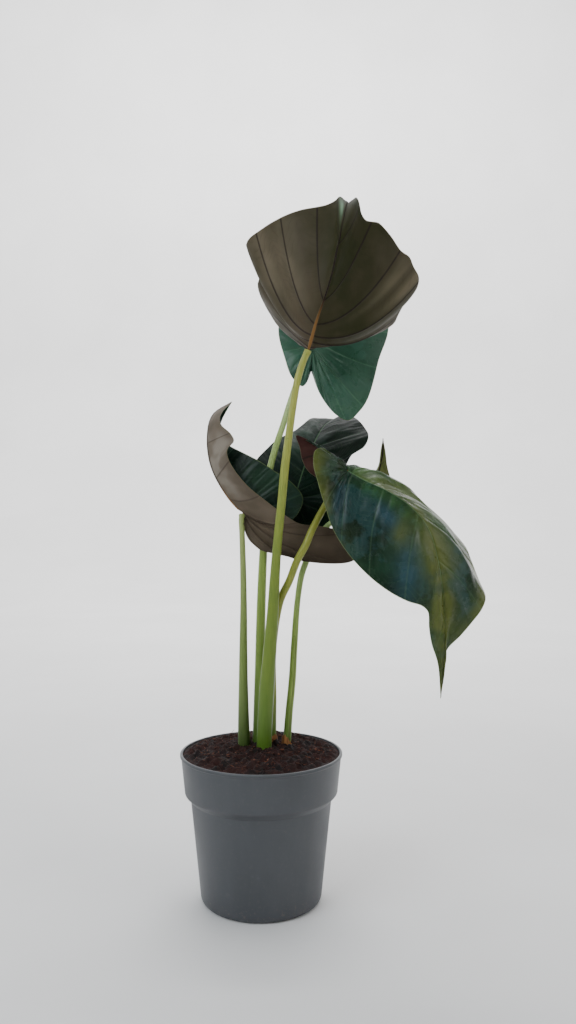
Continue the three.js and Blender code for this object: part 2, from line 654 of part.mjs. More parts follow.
const plant = new THREE.Group();
for (const name of Object.keys(LEAVES)) {
  plant.add(piece(`stalk_${name}`, stalkGeometry(name), FINISH.stalk));
  plant.add(piece(`blade_${name}`, bladeGeometry(name), FINISH.blade));
}
for (const name of Object.keys(HUSK_TURN)) {
  plant.add(piece(`husk_${name}`, huskGeometry(name), FINISH.husk));
}
root.add(plant);

export default root;
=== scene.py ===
"""Potted alocasia: glossy shield-shaped leaves on long stalks, in a grey nursery pot full of soil.

Every size of the plant is in millimetres and is turned into metres where a mesh is made. The studio's are
in metres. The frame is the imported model's: +Z up, the origin in the middle of the pot's base, and the
plant seen from -Y.
"""
import logging
import math
from abc import ABC, abstractmethod
from collections.abc import Sequence
from dataclasses import dataclass, field
from enum import Enum
from typing import Any

import bpy
import numpy as np
from numpy.typing import NDArray
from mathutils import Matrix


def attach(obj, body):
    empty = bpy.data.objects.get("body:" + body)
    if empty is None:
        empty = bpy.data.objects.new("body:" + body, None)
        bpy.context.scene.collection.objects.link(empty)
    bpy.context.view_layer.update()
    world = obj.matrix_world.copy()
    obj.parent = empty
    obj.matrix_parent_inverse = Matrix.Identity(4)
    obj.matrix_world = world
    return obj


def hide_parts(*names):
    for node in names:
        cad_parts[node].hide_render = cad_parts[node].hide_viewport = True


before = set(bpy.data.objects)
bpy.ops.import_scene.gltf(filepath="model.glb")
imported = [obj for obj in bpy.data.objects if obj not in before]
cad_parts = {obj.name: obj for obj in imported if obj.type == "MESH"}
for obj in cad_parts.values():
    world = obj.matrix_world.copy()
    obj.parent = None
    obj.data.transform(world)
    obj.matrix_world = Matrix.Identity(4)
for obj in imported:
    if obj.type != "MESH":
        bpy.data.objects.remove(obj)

Array = NDArray[Any]
Colour = tuple[float, float, float]
Triples = Sequence[Sequence[float]]
Socket = bpy.types.NodeSocket

LOG = logging.getLogger("alocasia")
MM = 0.001


def clamp(values: Array) -> Array:
    """Returns the values limited to 0 and 1."""
    return np.clip(values, 0.0, 1.0)


def ease(values: Array) -> Array:
    """Returns 3t^2 - 2t^3 of the values limited to 0 and 1, which starts and ends level."""
    t = clamp(values)
    return t * t * (3.0 - 2.0 * t)


def unit(vectors: Array) -> Array:
    """Returns the vectors at length 1."""
    return vectors / np.maximum(np.linalg.norm(vectors, axis=-1, keepdims=True), 1e-12)


def around(count: int) -> Array:
    """Returns the turns of count points spaced evenly round a circle, in radians."""
    return np.linspace(0.0, 2 * np.pi, count, endpoint=False)


class SmoothCurve:
    """A smooth curve through points, its knots spaced by the square root of the distance between them.

    Between two knots it is the cubic that meets both points and both slopes. The slope at a knot is the
    mean of the slopes on its two sides, each weighted by the other side's step.
    """

    LOOK = 0.02

    def __init__(self, points: Triples, even: bool = False) -> None:
        """Works out knots and slopes.

        Args:
            points: what the curve runs through.
            even: spaces the knots evenly, whatever the distances are.
        """
        self.points = np.asarray(points, dtype=float)
        gaps = np.linalg.norm(np.diff(self.points, axis=0), axis=1)
        steps = np.ones_like(gaps) if even else np.sqrt(gaps)
        self.knots = np.concatenate([[0.0], np.cumsum(steps)]) / steps.sum()
        step = np.diff(self.knots)[:, None]
        rises = np.diff(self.points, axis=0) / step
        inner = (rises[:-1] * step[1:] + rises[1:] * step[:-1]) / (step[1:] + step[:-1])
        self.slopes = np.vstack([rises[:1], inner, rises[-1:]])

    def at(self, share: Array) -> Array:
        """Works out points of the curve.

        Args:
            share: how far along the curve each lies, 0 to 1.

        Returns:
            The points.
        """
        share = np.asarray(share, dtype=float)
        i = np.clip(np.searchsorted(self.knots, share, side="right") - 1, 0, len(self.knots) - 2)
        step = (self.knots[i + 1] - self.knots[i])[..., None]
        t = clamp((share - self.knots[i])[..., None] / step)
        return (
            self.points[i] * (2 * t**3 - 3 * t**2 + 1)
            + self.slopes[i] * (t**3 - 2 * t**2 + t) * step
            + self.points[i + 1] * (3 * t**2 - 2 * t**3)
            + self.slopes[i + 1] * (t**3 - t**2) * step
        )

    def ahead(self, share: Array) -> Array:
        """Returns the unit directions of travel at the given shares."""
        share = np.asarray(share, dtype=float)
        return unit(self.at(clamp(share + self.LOOK)) - self.at(clamp(share - self.LOOK)))


def strip_faces(a: Array, b: Array, shift: int) -> Array:
    """Returns the two triangles of each cell between the edges a to b and those shift points on."""
    return np.concatenate([np.stack([a, b, b + shift], 1), np.stack([a, b + shift, a + shift], 1)])


def grid_faces(rows: int, columns: int, ring: bool = False) -> Array:
    """Returns the two triangles of each cell of a grid of points, counted row by row.

    Args:
        rows: number of rows.
        columns: number of points in a row.
        ring: joins each row's last point to its first.

    Returns:
        An array of triangles, anticlockwise where rows go up and columns go right.
    """
    row, column = np.mgrid[0 : rows - 1, 0 : columns if ring else columns - 1]
    a, b = row * columns + column, row * columns + (column + 1) % columns
    return strip_faces(a.ravel(), b.ravel(), columns)


def cap_faces(first: int, count: int, flipped: bool = False) -> Array:
    """Returns a fan of triangles over a ring of points.

    Args:
        first: number of the ring's first point.
        count: number of points in the ring.
        flipped: turns the triangles over.

    Returns:
        The triangles, anticlockwise where the ring is.
    """
    i = np.arange(1, count - 1)
    fan = np.stack([np.full_like(i, first), first + i, first + i + 1], 1)
    return fan[:, ::-1] if flipped else fan


def tube_faces(rings: int, sides: int) -> Array:
    """Returns the triangles of a tube of rings of sides points each, closed at both ends."""
    caps = [cap_faces(0, sides, flipped=True), cap_faces((rings - 1) * sides, sides)]
    return np.concatenate([grid_faces(rings, sides, ring=True), *caps])


def turned(section: Array, sides: int) -> Array:
    """Turns a section about the upright axis.

    Args:
        section: radius r and height z of each ring.
        sides: number of points in a ring, each at r cos(turn), r sin(turn), z.

    Returns:
        The points, ring by ring.
    """
    reach, height, turn = section[:, :1], section[:, 1:], around(sides)
    layers = (reach * np.cos(turn), reach * np.sin(turn), np.broadcast_to(height, (len(section), sides)))
    return np.stack(layers, axis=2).reshape(-1, 3)


def closed_rings(rings: Array, sides: int, first: float, last: float) -> tuple[Array, Array]:
    """Closes rings about the upright axis with a fan at each end.

    Args:
        rings: their points, ring by ring.
        sides: number of points in a ring.
        first: height of the middle of the first ring's fan.
        last: height of the middle of the last ring's fan.

    Returns:
        All points and triangles.
    """
    count = len(rings)
    end = count - sides
    i = np.arange(sides)
    j = (i + 1) % sides
    fans = [np.stack([j, i, np.full_like(i, count)], 1)]
    fans.append(np.stack([end + i, end + j, np.full_like(i, count + 1)], 1))
    points = np.concatenate([rings, [[0, 0, first], [0, 0, last]]])
    return points, np.concatenate([grid_faces(count // sides, sides, ring=True), *fans])


def point_normals(points: Array, faces: Array) -> Array:
    """Works out the normal at each point, the mean of its triangles' normals by area.

    Args:
        points: the points.
        faces: triangles over them.

    Returns:
        A unit normal for each point.
    """
    a, b, c = points[faces[:, 0]], points[faces[:, 1]], points[faces[:, 2]]
    normal = np.cross(b - a, c - a)
    total = np.zeros_like(points)
    for corner in range(3):
        np.add.at(total, faces[:, corner], normal)
    return unit(total)


def rim_edges(faces: Array, count: int) -> Array:
    """Finds the open edges of a sheet, those that no other triangle has the other way round.

    Args:
        faces: the sheet's triangles.
        count: number of its points.

    Returns:
        The two ends of each edge, in its triangle's sense.
    """
    edges = np.concatenate([faces[:, [0, 1]], faces[:, [1, 2]], faces[:, [2, 0]]])
    there = edges[:, 0] * count + edges[:, 1]
    back = edges[:, 1] * count + edges[:, 0]
    return edges[~np.isin(there, back)]


def hashed(x: Array, y: Array, seed: int) -> Array:
    """Scrambles each pair of whole numbers, by products, shifts and exclusive ors.

    Args:
        x: the first numbers.
        y: the second numbers.
        seed: picks another set.

    Returns:
        A fixed pseudo-random number from 0 to 1 for each pair.
    """
    mixed = (x.astype(np.int64) * 73856093) ^ (y.astype(np.int64) * 19349663) ^ (seed * 83492791)
    mixed = (mixed ^ (mixed >> 13)) * 1274126177 & 0xFFFFFFFF
    return ((mixed ^ (mixed >> 16)) & 0xFFFF) / 65535.0


def cloudy(x: Array, y: Array, seed: int) -> Array:
    """Works out smooth noise: fixed random numbers on a unit lattice, eased between its points.

    Args:
        x: places across.
        y: places along.
        seed: picks another noise.

    Returns:
        The noise, -1 to 1.
    """
    x, y = np.broadcast_arrays(x, y)
    column, row = np.floor(x), np.floor(y)
    s, t = ease(x - column), ease(y - row)
    low = hashed(column, row, seed) * (1 - s) + hashed(column + 1, row, seed) * s
    high = hashed(column, row + 1, seed) * (1 - s) + hashed(column + 1, row + 1, seed) * s
    return 2 * (low * (1 - t) + high * t) - 1


def crumbs(x: Array, y: Array, size: float, seed: int) -> Array:
    """Works out a floor of round crumbs strewn one to a cell of a square lattice.

    A crumb is the upper half of a ball, height * sqrt(1 - (distance / radius)^2). Its centre lies anywhere
    in its cell, its radius is 0.35 to 0.85 of the cell and its height 0.4 to 1. The highest crumb counts.

    Args:
        x: places across.
        y: places along.
        size: the lattice's cell.
        seed: picks another floor.

    Returns:
        The floor's height at the places, 0 to 1.
    """
    column, row = np.floor(x / size), np.floor(y / size)
    height = np.zeros_like(x)
    for across in (-1, 0, 1):
        for along in (-1, 0, 1):
            i, j = column + across, row + along
            centre_x = (i + hashed(i, j, seed)) * size
            centre_y = (j + hashed(i, j, seed + 1)) * size
            radius = size * (0.35 + 0.5 * hashed(i, j, seed + 2))
            away = ((x - centre_x) ** 2 + (y - centre_y) ** 2) / radius**2
            lift = 0.4 + 0.6 * hashed(i, j, seed + 3)
            height = np.maximum(height, lift * np.sqrt(clamp(1.0 - away)))
    return height


def filleted(profile: Sequence[tuple[float, float, float]], steps: int = 5) -> Array:
    """Rounds the corners of a profile.

    Args:
        profile: radius, height and rounding of each corner.
        steps: number of pieces in each round.

    Returns:
        The rounded profile: at each corner the curve (1-t)^2 a + 2t(1-t) corner + t^2 b, where a and b lie
        the rounding's length before and after the corner.
    """
    corners = np.array([[r, z] for r, z, _ in profile])
    done = [corners[:1]]
    t = np.linspace(0.0, 1.0, steps + 1)[:, None]
    for before, corner, after, (_, _, size) in zip(corners, corners[1:], corners[2:], profile[1:]):
        a = corner + size * unit(before - corner)
        b = corner + size * unit(after - corner)
        done.append((1 - t) ** 2 * a + 2 * t * (1 - t) * corner + t**2 * b if size else corner[None])
    return np.concatenate([*done, corners[-1:]])


def mesh_piece(
    name: str,
    points: Array,
    faces: Array,
    materials: Sequence[bpy.types.Material],
    slots: Array | None = None,
    corner_data: dict[str, Array] | None = None,
    point_data: dict[str, Array] | None = None,
) -> bpy.types.Object:
    """Makes a smooth-shaded mesh object at the origin, in metres.

    Args:
        name: the object's name.
        points: its points, in millimetres.
        faces: its triangles.
        materials: its finishes.
        slots: each triangle's finish, or None for the first.
        corner_data: vectors for each triangle's three corners, by name.
        point_data: vectors for each point, by name.

    Returns:
        The object, linked to the scene.
    """
    mesh = bpy.data.meshes.new(name)
    mesh.from_pydata((points * MM).tolist(), [], faces.tolist())
    for material in materials:
        mesh.materials.append(material)
    mesh.shade_smooth()
    if slots is not None:
        mesh.polygons.foreach_set("material_index", slots.astype(np.int32))
    for domain, layers in (("CORNER", corner_data), ("POINT", point_data)):
        for layer, values in (layers or {}).items():
            attribute = mesh.attributes.new(layer, "FLOAT_VECTOR", domain)
            attribute.data.foreach_set("vector", np.ascontiguousarray(values, dtype=np.float32).ravel())
    mesh.update()
    piece = bpy.data.objects.new(name, mesh)
    bpy.context.scene.collection.objects.link(piece)
    return piece


def settle(piece: bpy.types.Object, node: str) -> None:
    """Lets a piece ride on the plant and stand for a node of the frame.

    Args:
        piece: the piece.
        node: the node that it stands for.
    """
    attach(piece, "root")
    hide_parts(node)


class Graph:
    """Adds nodes to one node tree and links them."""

    def __init__(self, tree: bpy.types.NodeTree) -> None:
        """Takes the tree to build in."""
        self.tree = tree

    def feed(self, socket: Socket, value: Any) -> None:
        """Links an output to a socket, or sets the socket to a plain value.

        Args:
            socket: the input.
            value: an output, or a number or colour.
        """
        if isinstance(value, bpy.types.NodeSocket):
            self.tree.links.new(value, socket)
        elif isinstance(value, tuple) and len(value) == 3 and socket.type == "RGBA":
            socket.default_value = (*value, 1.0)
        else:
            socket.default_value = value

    def node(self, kind: str, inputs: dict[Any, Any] | None = None, **settings: Any) -> bpy.types.Node:
        """Adds a node.

        Args:
            kind: the node's type.
            inputs: values or outputs for its sockets, by name or number.
            settings: the node's own properties.

        Returns:
            The node.
        """
        made = self.tree.nodes.new(kind)
        for key, value in settings.items():
            setattr(made, key, value)
        for key, value in (inputs or {}).items():
            self.feed(made.inputs[key], value)
        return made

    def sum(self, operation: str, a: Any, b: Any = 0.0) -> Socket:
        """Returns what an operation such as ADD or MULTIPLY makes of two values."""
        return self.node("ShaderNodeMath", {0: a, 1: b}, operation=operation).outputs[0]

    def times(self, a: Any, b: Any) -> Socket:
        """Returns the product of two values."""
        return self.sum("MULTIPLY", a, b)

    def plus(self, a: Any, b: Any) -> Socket:
        """Returns the total of two values."""
        return self.sum("ADD", a, b)

    def mix(self, share: Any, a: Any, b: Any) -> Socket:
        """Returns colour a, or b where the share is 1."""
        return self.node("ShaderNodeMix", {0: share, 6: a, 7: b}, data_type="RGBA").outputs[2]

    def spread(self, value: Any, low: Any, high: Any, to_low: Any = 0.0, to_high: Any = 1.0) -> Socket:
        """Returns a value eased from one range to another."""
        inputs = {0: value, 1: low, 2: high, 3: to_low, 4: to_high}
        return self.node("ShaderNodeMapRange", inputs, interpolation_type="SMOOTHSTEP").outputs[0]

    def noise(self, vector: Any, scale: Any, detail: float = 3.0, rough: float = 0.55) -> Socket:
        """Returns cloudy noise, about 0 to 1."""
        inputs = {"Vector": vector, "Scale": scale, "Detail": detail, "Roughness": rough}
        return self.node("ShaderNodeTexNoise", inputs).outputs[0]


class Effect(Enum):
    """The node groups that several finishes share."""

    MOTTLE = "mottle"
    LINE = "line"
    STREAKS = "streaks"
    GRAIN = "grain"
    FOLDS = "folds"
    FINE_VEINS = "fine_veins"


class Effects:
    """Builds each shared node group on its first use."""

    SOCKETS = {
        Effect.MOTTLE: (("Vector", "Scale", "Low", "High"), "Mask"),
        Effect.LINE: (("Distance", "Width", "Softness"), "Mask"),
        Effect.STREAKS: (("Vector", "Scale", "Stretch"), "Mask"),
        Effect.GRAIN: (("Vector", "Scale"), "Height"),
        Effect.FOLDS: (("Vein", "Out", "Closeness"), "Mask"),
        Effect.FINE_VEINS: (("Vector", "Vein", "Out"), "Mask"),
    }

    def __init__(self) -> None:
        """Starts with no group built."""
        self.built: dict[Effect, bpy.types.NodeTree] = {}

    def group(self, effect: Effect) -> bpy.types.NodeTree:
        """Builds an effect's node group, on its first use.

        Args:
            effect: which effect.

        Returns:
            The group.
        """
        if effect not in self.built:
            tree = bpy.data.node_groups.new(effect.value, "ShaderNodeTree")
            names, result = self.SOCKETS[effect]
            for name in names:
                kind = "NodeSocketVector" if name == "Vector" else "NodeSocketFloat"
                tree.interface.new_socket(name, in_out="INPUT", socket_type=kind)
            tree.interface.new_socket(result, in_out="OUTPUT", socket_type="NodeSocketFloat")
            graph = Graph(tree)
            given = graph.node("NodeGroupInput").outputs
            made = getattr(self, effect.value)(graph, given)
            graph.node("NodeGroupOutput", {0: made})
            self.built[effect] = tree
        return self.built[effect]

    def mottle(self, graph: Graph, given: Any) -> Socket:
        """Cloudy patches: noise eased from Low to High."""
        cloud = graph.noise(given["Vector"], given["Scale"], 4.0)
        return graph.spread(cloud, given["Low"], given["High"])

    def line(self, graph: Graph, given: Any) -> Socket:
        """A soft-edged line: 1 nearer than Width, 0 beyond Width plus Softness."""
        far = graph.plus(given["Width"], given["Softness"])
        return graph.spread(given["Distance"], given["Width"], far, 1.0, 0.0)

    def streaks(self, graph: Graph, given: Any) -> Socket:
        """Upright fibres: noise on a place whose height is shortened by Stretch.

        Args:
            graph: the group's graph.
            given: the group's inputs.

        Returns:
            The fibres' mask.
        """
        scale = graph.node("ShaderNodeCombineXYZ", {0: 1.0, 1: 1.0, 2: given["Stretch"]}).outputs[0]
        inputs = {0: given["Vector"], 1: scale}
        place = graph.node("ShaderNodeVectorMath", inputs, operation="MULTIPLY").outputs[0]
        return graph.spread(graph.noise(place, given["Scale"], 3.0), 0.3, 0.7)

    def grain(self, graph: Graph, given: Any) -> Socket:
        """Fine uneven skin: broad and narrow noise, two to one.

        Args:
            graph: the group's graph.
            given: the group's inputs.

        Returns:
            The skin's height.
        """
        broad = graph.noise(given["Vector"], given["Scale"], 2.0)
        narrow = graph.noise(given["Vector"], graph.times(given["Scale"], 5.0), 2.0)
        return graph.plus(graph.times(broad, 0.67), graph.times(narrow, 0.33))

    def folds(self, graph: Graph, given: Any) -> Socket:
        """Soft stripes along the side veins: noise on a place that changes slowly from midrib to margin.

        Args:
            graph: the group's graph.
            given: the group's inputs.

        Returns:
            The stripes' mask.
        """
        # As colour the stripes are painted light and shade of the folds; as a bump height they raise the
        # folds.
        across = graph.times(given["Vein"], given["Closeness"])
        place = graph.node("ShaderNodeCombineXYZ", {0: across, 1: graph.times(given["Out"], 1.6)})
        return graph.spread(graph.noise(place.outputs[0], 1.0, 1.5), 0.3, 0.7)

    def fine_veins(self, graph: Graph, given: Any) -> Socket:
        """Thin broken lines that run aslant from one side vein to the next, bent by noise.

        About 17 of them lie between midrib and margin.

        Args:
            graph: the group's graph.
            given: the group's inputs.

        Returns:
            The lines' mask.
        """
        place = given["Vector"]
        in_cell = graph.sum("ABSOLUTE", graph.sum("SUBTRACT", graph.sum("FRACT", given["Vein"]), 0.5))
        bent = graph.times(graph.noise(place, 24.0, 3.0), 3.5)
        lines = graph.plus(graph.times(given["Out"], 17.0), graph.times(in_cell, 4.0))
        turn = graph.sum("FRACT", graph.plus(lines, bent))
        away = graph.sum("ABSOLUTE", graph.sum("SUBTRACT", turn, 0.5))
        patches = graph.spread(graph.noise(place, 38.0, 4.0), 0.42, 0.62)
        return graph.times(graph.spread(away, 0.02, 0.16, 1.0, 0.0), patches)


EFFECTS = Effects()


class Skin(Graph):
    """A material's graph, with its Principled BSDF's sockets and the place on the piece."""

    def __init__(self, tree: bpy.types.NodeTree) -> None:
        """Finds the shader's sockets and adds the node that gives the place.

        Args:
            tree: the material's tree.
        """
        super().__init__(tree)
        self.shader = tree.nodes["Principled BSDF"].inputs
        self.place = self.node("ShaderNodeTexCoord").outputs["Object"]

    def set(self, **inputs: Any) -> None:
        """Feeds sockets of the Principled BSDF, an underscore in a name standing for a space."""
        for name, value in inputs.items():
            self.feed(self.shader[name.replace("_", " ")], value)

    def parts(self, attribute: str) -> tuple[Socket, Socket, Socket]:
        """Reads a vector attribute.

        Args:
            attribute: its name.

        Returns:
            Its three numbers.
        """
        read = self.node("ShaderNodeAttribute", attribute_name=attribute).outputs["Vector"]
        split = self.node("ShaderNodeSeparateXYZ", {0: read}).outputs
        return split[0], split[1], split[2]

    def effect(self, effect: Effect, **inputs: Any) -> Socket:
        """Places an effect.

        Args:
            effect: which effect.
            inputs: its inputs, by name. Vector is the place on the piece.

        Returns:
            The effect's output.
        """
        placed = self.node("ShaderNodeGroup", node_tree=EFFECTS.group(effect))
        if "Vector" in placed.inputs:
            inputs["Vector"] = self.place
        for name, value in inputs.items():
            self.feed(placed.inputs[name], value)
        return placed.outputs[0]

    def patches(self, scale: float, low: float, high: float) -> Socket:
        """Returns cloudy patches, larger where the scale is less and fewer where low and high are more."""
        return self.effect(Effect.MOTTLE, Scale=scale, Low=low, High=high)

    def line(self, distance: Socket, width: float, softness: float) -> Socket:
        """Returns a line along what the distance is from, all in millimetres."""
        return self.effect(Effect.LINE, Distance=distance, Width=width, Softness=softness)

    def fibres(self, scale: float, stretch: float) -> Socket:
        """Returns upright fibres, longer where stretch is less."""
        return self.effect(Effect.STREAKS, Scale=scale, Stretch=stretch)

    def level(self, mask: Socket, low: float, high: float) -> Socket:
        """Returns a value that goes from low to high as a mask goes from 0 to 1."""
        return self.spread(mask, 0.0, 1.0, low, high)

    def lay(self, colour: Socket, over: Any, mask: Any, share: Any = None) -> Socket:
        """Returns a colour with another laid over it where a mask is 1, at a share of it if given."""
        return self.mix(mask if share is None else self.times(mask, share), colour, over)

    def bump(self, height: Any, depth_mm: float, strength: float = 1.0, normal: Any = None) -> Socket:
        """Raises the surface's normal by a height.

        Args:
            height: the height, 0 to 1.
            depth_mm: how far a height of 1 stands out.
            strength: the share of it that shows.
            normal: the normal to start from, or None for the surface's own.

        Returns:
            The new normal.
        """
        inputs = {"Height": height, "Distance": depth_mm * MM, "Strength": strength}
        if normal is not None:
            inputs["Normal"] = normal
        return self.node("ShaderNodeBump", inputs).outputs[0]

    def grained(self, scale: float, depth_mm: float, strength: float) -> Socket:
        """Returns the normal of finely uneven skin."""
        return self.bump(self.effect(Effect.GRAIN, Scale=scale), depth_mm, strength)


@dataclass(frozen=True)
class Finish(ABC):
    """A procedural material. Its colours are linear."""

    name: str

    def material(self) -> bpy.types.Material:
        """Makes the finish's material, on its first use.

        Returns:
            The material.
        """
        found = bpy.data.materials.get(self.name)
        if found:
            return found
        made = bpy.data.materials.new(self.name)
        made.use_nodes = True
        self.dress(Skin(made.node_tree))
        return made

    @abstractmethod
    def dress(self, skin: Skin) -> None:
        """Builds the nodes that feed the material's Principled BSDF.

        Args:
            skin: the material's graph.
        """


@dataclass(frozen=True)
class LeafUpper(Finish):
    """Glossy upper side: dark green, painted blue-green reflection patches, veins and margin a little
    paler.
    """

    deep: Colour = (0.006, 0.024, 0.013)
    fresh: Colour = (0.014, 0.055, 0.022)
    # painted reflection: blue-green patches that stand for the broken reflection of a bluish light
    painted_reflection: Colour = (0.016, 0.050, 0.034)
    pale: Colour = (0.045, 0.125, 0.035)
    olive_and_glow: Colour = (0.095, 0.110, 0.016)
    accent_and_reflection: Colour = (0.05, 0.048, 0.012)
    vein: Colour = (0.10, 0.19, 0.09)
    margin: Colour = (0.16, 0.20, 0.08)
    roughness: float = 0.26
    coat: float = 0.06
    specular: float = 0.22
    vein_share: float = 0.22

    def dress(self, skin: Skin) -> None:
        """Lays zones, painted fold shading, veins, rib and margin over the clouded green, and puckers the
        skin.

        Args:
            skin: the material's graph.
        """
        vein, rib, edge = skin.parts("leaf_mm")
        count, out, _ = skin.parts("leaf_at")
        olive_and_glow, pale, accent_and_reflection = skin.parts("leaf_tone")
        folds = skin.effect(Effect.FOLDS, Vein=count, Out=out, Closeness=3.0)
        fine = skin.effect(Effect.FINE_VEINS, Vein=count, Out=out)
        broken = skin.spread(skin.noise(skin.place, 26.0, 4.0), 0.3, 0.62, 0.5, 1.2)
        # Painted highlight: the pale zones broken into stripes by the folds, as light catching the folds.
        streaked = skin.times(pale, skin.level(folds, 0.35, 1.15))
        colour = skin.mix(skin.patches(scale=14.0, low=0.35, high=0.7), self.deep, self.fresh)
        # Painted reflection: blue-green patches stand for the broken reflection of a bluish light on the
        # gloss.
        colour = skin.lay(colour, self.painted_reflection, skin.patches(scale=24.0, low=0.49, high=0.57), 0.65)
        # Zone tones: the pale zones are partly painted highlight, the olive zones partly painted glow of
        # light through the blade, the accent zones on leaf d painted reflection.
        for tone, zone in ((self.pale, streaked), (self.olive_and_glow, olive_and_glow), (self.accent_and_reflection, accent_and_reflection)):
            colour = skin.lay(colour, tone, zone, broken)
        colour = skin.lay(colour, self.vein, skin.line(vein, width=0.2, softness=1.9), self.vein_share)
        colour = skin.lay(colour, self.vein, fine, 0.07)
        colour = skin.lay(colour, self.vein, skin.line(rib, width=0.6, softness=1.1), 0.45)
        smears = skin.patches(scale=40.0, low=0.3, high=0.75)
        folded = skin.bump(folds, 1.8, 0.7, skin.grained(70.0, 0.7, 0.8))
        skin.set(
            Base_Color=skin.lay(colour, self.margin, skin.line(edge, width=0.4, softness=0.6)),
            Roughness=skin.level(smears, self.roughness, self.roughness + 0.12),
            Normal=skin.bump(fine, 0.1, 0.4, folded),
            Specular_IOR_Level=self.specular,
            Coat_Weight=self.coat,
            Coat_Roughness=0.12,
        )


@dataclass(frozen=True)
class LeafUnder(Finish):
    """Dull underside: brown purple to olive (partly painted glow), side veins dark, midrib warm near the
    stalk.
    """

    dusk: Colour = (0.062, 0.047, 0.028)
    olive_and_glow: Colour = (0.017, 0.019, 0.003)
    pale: Colour = (0.150, 0.125, 0.080)
    accent_and_reflection: Colour = (0.13, 0.22, 0.13)
    vein: Colour = (0.012, 0.006, 0.004)
    rib: Colour = (0.20, 0.10, 0.03)
    margin: Colour = (0.12, 0.10, 0.06)
    roughness: float = 0.55
    vein_share: float = 0.85

    def dress(self, skin: Skin) -> None:
        """Lays zones, veins, rib and margin over the brown with painted fold shading, and roughens the
        skin.

        Args:
            skin: the material's graph.
        """
        vein, rib, edge = skin.parts("leaf_mm")
        count, out, share = skin.parts("leaf_at")
        olive_and_glow, pale, accent_and_reflection = skin.parts("leaf_tone")
        patches = skin.patches(scale=12.0, low=0.3, high=0.7)
        folds = skin.effect(Effect.FOLDS, Vein=count, Out=out, Closeness=1.7)
        fine = skin.effect(Effect.FINE_VEINS, Vein=count, Out=out)
        broken = skin.spread(skin.noise(skin.place, 18.0, 4.0), 0.3, 0.62, 0.6, 1.1)
        # Painted highlight: the pale zones broken into stripes by the folds, as light catching the folds.
        streaked = skin.times(pale, skin.level(folds, 1.25, 0.35))
        # Painted shade: brown and olive mixed by random patches and by the fold stripes, painted light and
        # shade of the folds.
        shade = skin.plus(skin.times(patches, 0.5), skin.times(folds, 0.15))
        colour = skin.mix(shade, self.dusk, self.olive_and_glow)
        # Zone tones: the pale zones are partly painted highlight, the olive zones partly painted glow of
        # light through the blade.
        for tone, zone in ((self.pale, streaked), (self.olive_and_glow, olive_and_glow)):
            colour = skin.lay(colour, tone, zone, broken)
        colour = skin.lay(colour, self.accent_and_reflection, accent_and_reflection)
        colour = skin.lay(colour, self.vein, fine, 0.12)
        colour = skin.lay(colour, self.vein, skin.line(vein, width=0.5, softness=1.5), self.vein_share)
        midrib = skin.mix(skin.spread(share, 0.10, 0.30), self.rib, self.vein)
        colour = skin.lay(colour, midrib, skin.line(rib, width=1.5, softness=1.6))
        skin.set(
            Base_Color=skin.lay(colour, self.margin, skin.line(edge, width=0.3, softness=0.7)),
            Roughness=skin.level(patches, self.roughness, self.roughness + 0.12),
            Normal=skin.bump(fine, 0.12, 0.5, skin.grained(110.0, 0.2, 0.5)),
            Specular_IOR_Level=0.15,
        )


@dataclass(frozen=True)
class StalkSkin(Finish):
    """Waxy stalk: dark green at the foot, yellow green at the top, with upright fibres."""

    foot: Colour = (0.07, 0.17, 0.025)
    middle: Colour = (0.17, 0.26, 0.026)
    top: Colour = (0.37, 0.38, 0.075)
    streak: Colour = (0.075, 0.14, 0.018)
    seam: Colour = (0.09, 0.07, 0.02)
    turn_low: float = 0.30
    turn_high: float = 0.85

    def dress(self, skin: Skin) -> None:
        """Grades the colour up the stalk, then lays fibres, speckles and the sheath's edge over it.

        Args:
            skin: the material's graph.
        """
        along, seam, _ = skin.parts("stalk_at")
        fibres = skin.fibres(scale=420.0, stretch=0.03)
        colour = skin.mix(skin.spread(along, 0.04, self.turn_low), self.foot, self.middle)
        colour = skin.mix(skin.spread(along, self.turn_low, self.turn_high), colour, self.top)
        colour = skin.lay(colour, self.streak, fibres, 0.35)
        colour = skin.lay(colour, self.streak, skin.patches(scale=150.0, low=0.62, high=0.72), 0.3)
        skin.set(
            Base_Color=skin.mix(seam, colour, self.seam),
            Roughness=skin.level(fibres, 0.34, 0.5),
            Normal=skin.bump(fibres, 0.12, 0.6),
            Specular_IOR_Level=0.3,
            Coat_Weight=0.1,
            Coat_Roughness=0.3,
        )


@dataclass(frozen=True)
class Moulded(Finish):
    """Moulded grey plastic: faint flow marks, scuffs, specks of dust and more dust low down."""

    grey: Colour = (0.046, 0.050, 0.057)
    worn: Colour = (0.085, 0.09, 0.098)
    dust: Colour = (0.16, 0.135, 0.11)
    dusty_m: float = 0.03

    def dress(self, skin: Skin) -> None:
        """Lays flow marks, scuffs and dust over the grey, and roughens it finely.

        Args:
            skin: the material's graph.
        """
        height = skin.node("ShaderNodeSeparateXYZ", {0: skin.place}).outputs[2]
        clouds = skin.patches(scale=9.0, low=0.35, high=0.75)
        flow = skin.fibres(scale=28.0, stretch=0.12)
        marks = skin.plus(skin.times(flow, 0.16), skin.times(clouds, 0.22))
        colour = skin.mix(marks, self.grey, self.worn)
        colour = skin.lay(colour, self.worn, skin.patches(scale=70.0, low=0.66, high=0.8), 0.35)
        dusty = skin.plus(skin.spread(height, 0.0, self.dusty_m, 0.35, 0.0), 0.06)
        skin.set(
            Base_Color=skin.lay(colour, self.dust, skin.patches(scale=240.0, low=0.55, high=0.7), dusty),
            Roughness=skin.level(clouds, 0.42, 0.56),
            Normal=skin.grained(420.0, 0.08, 0.5),
        )


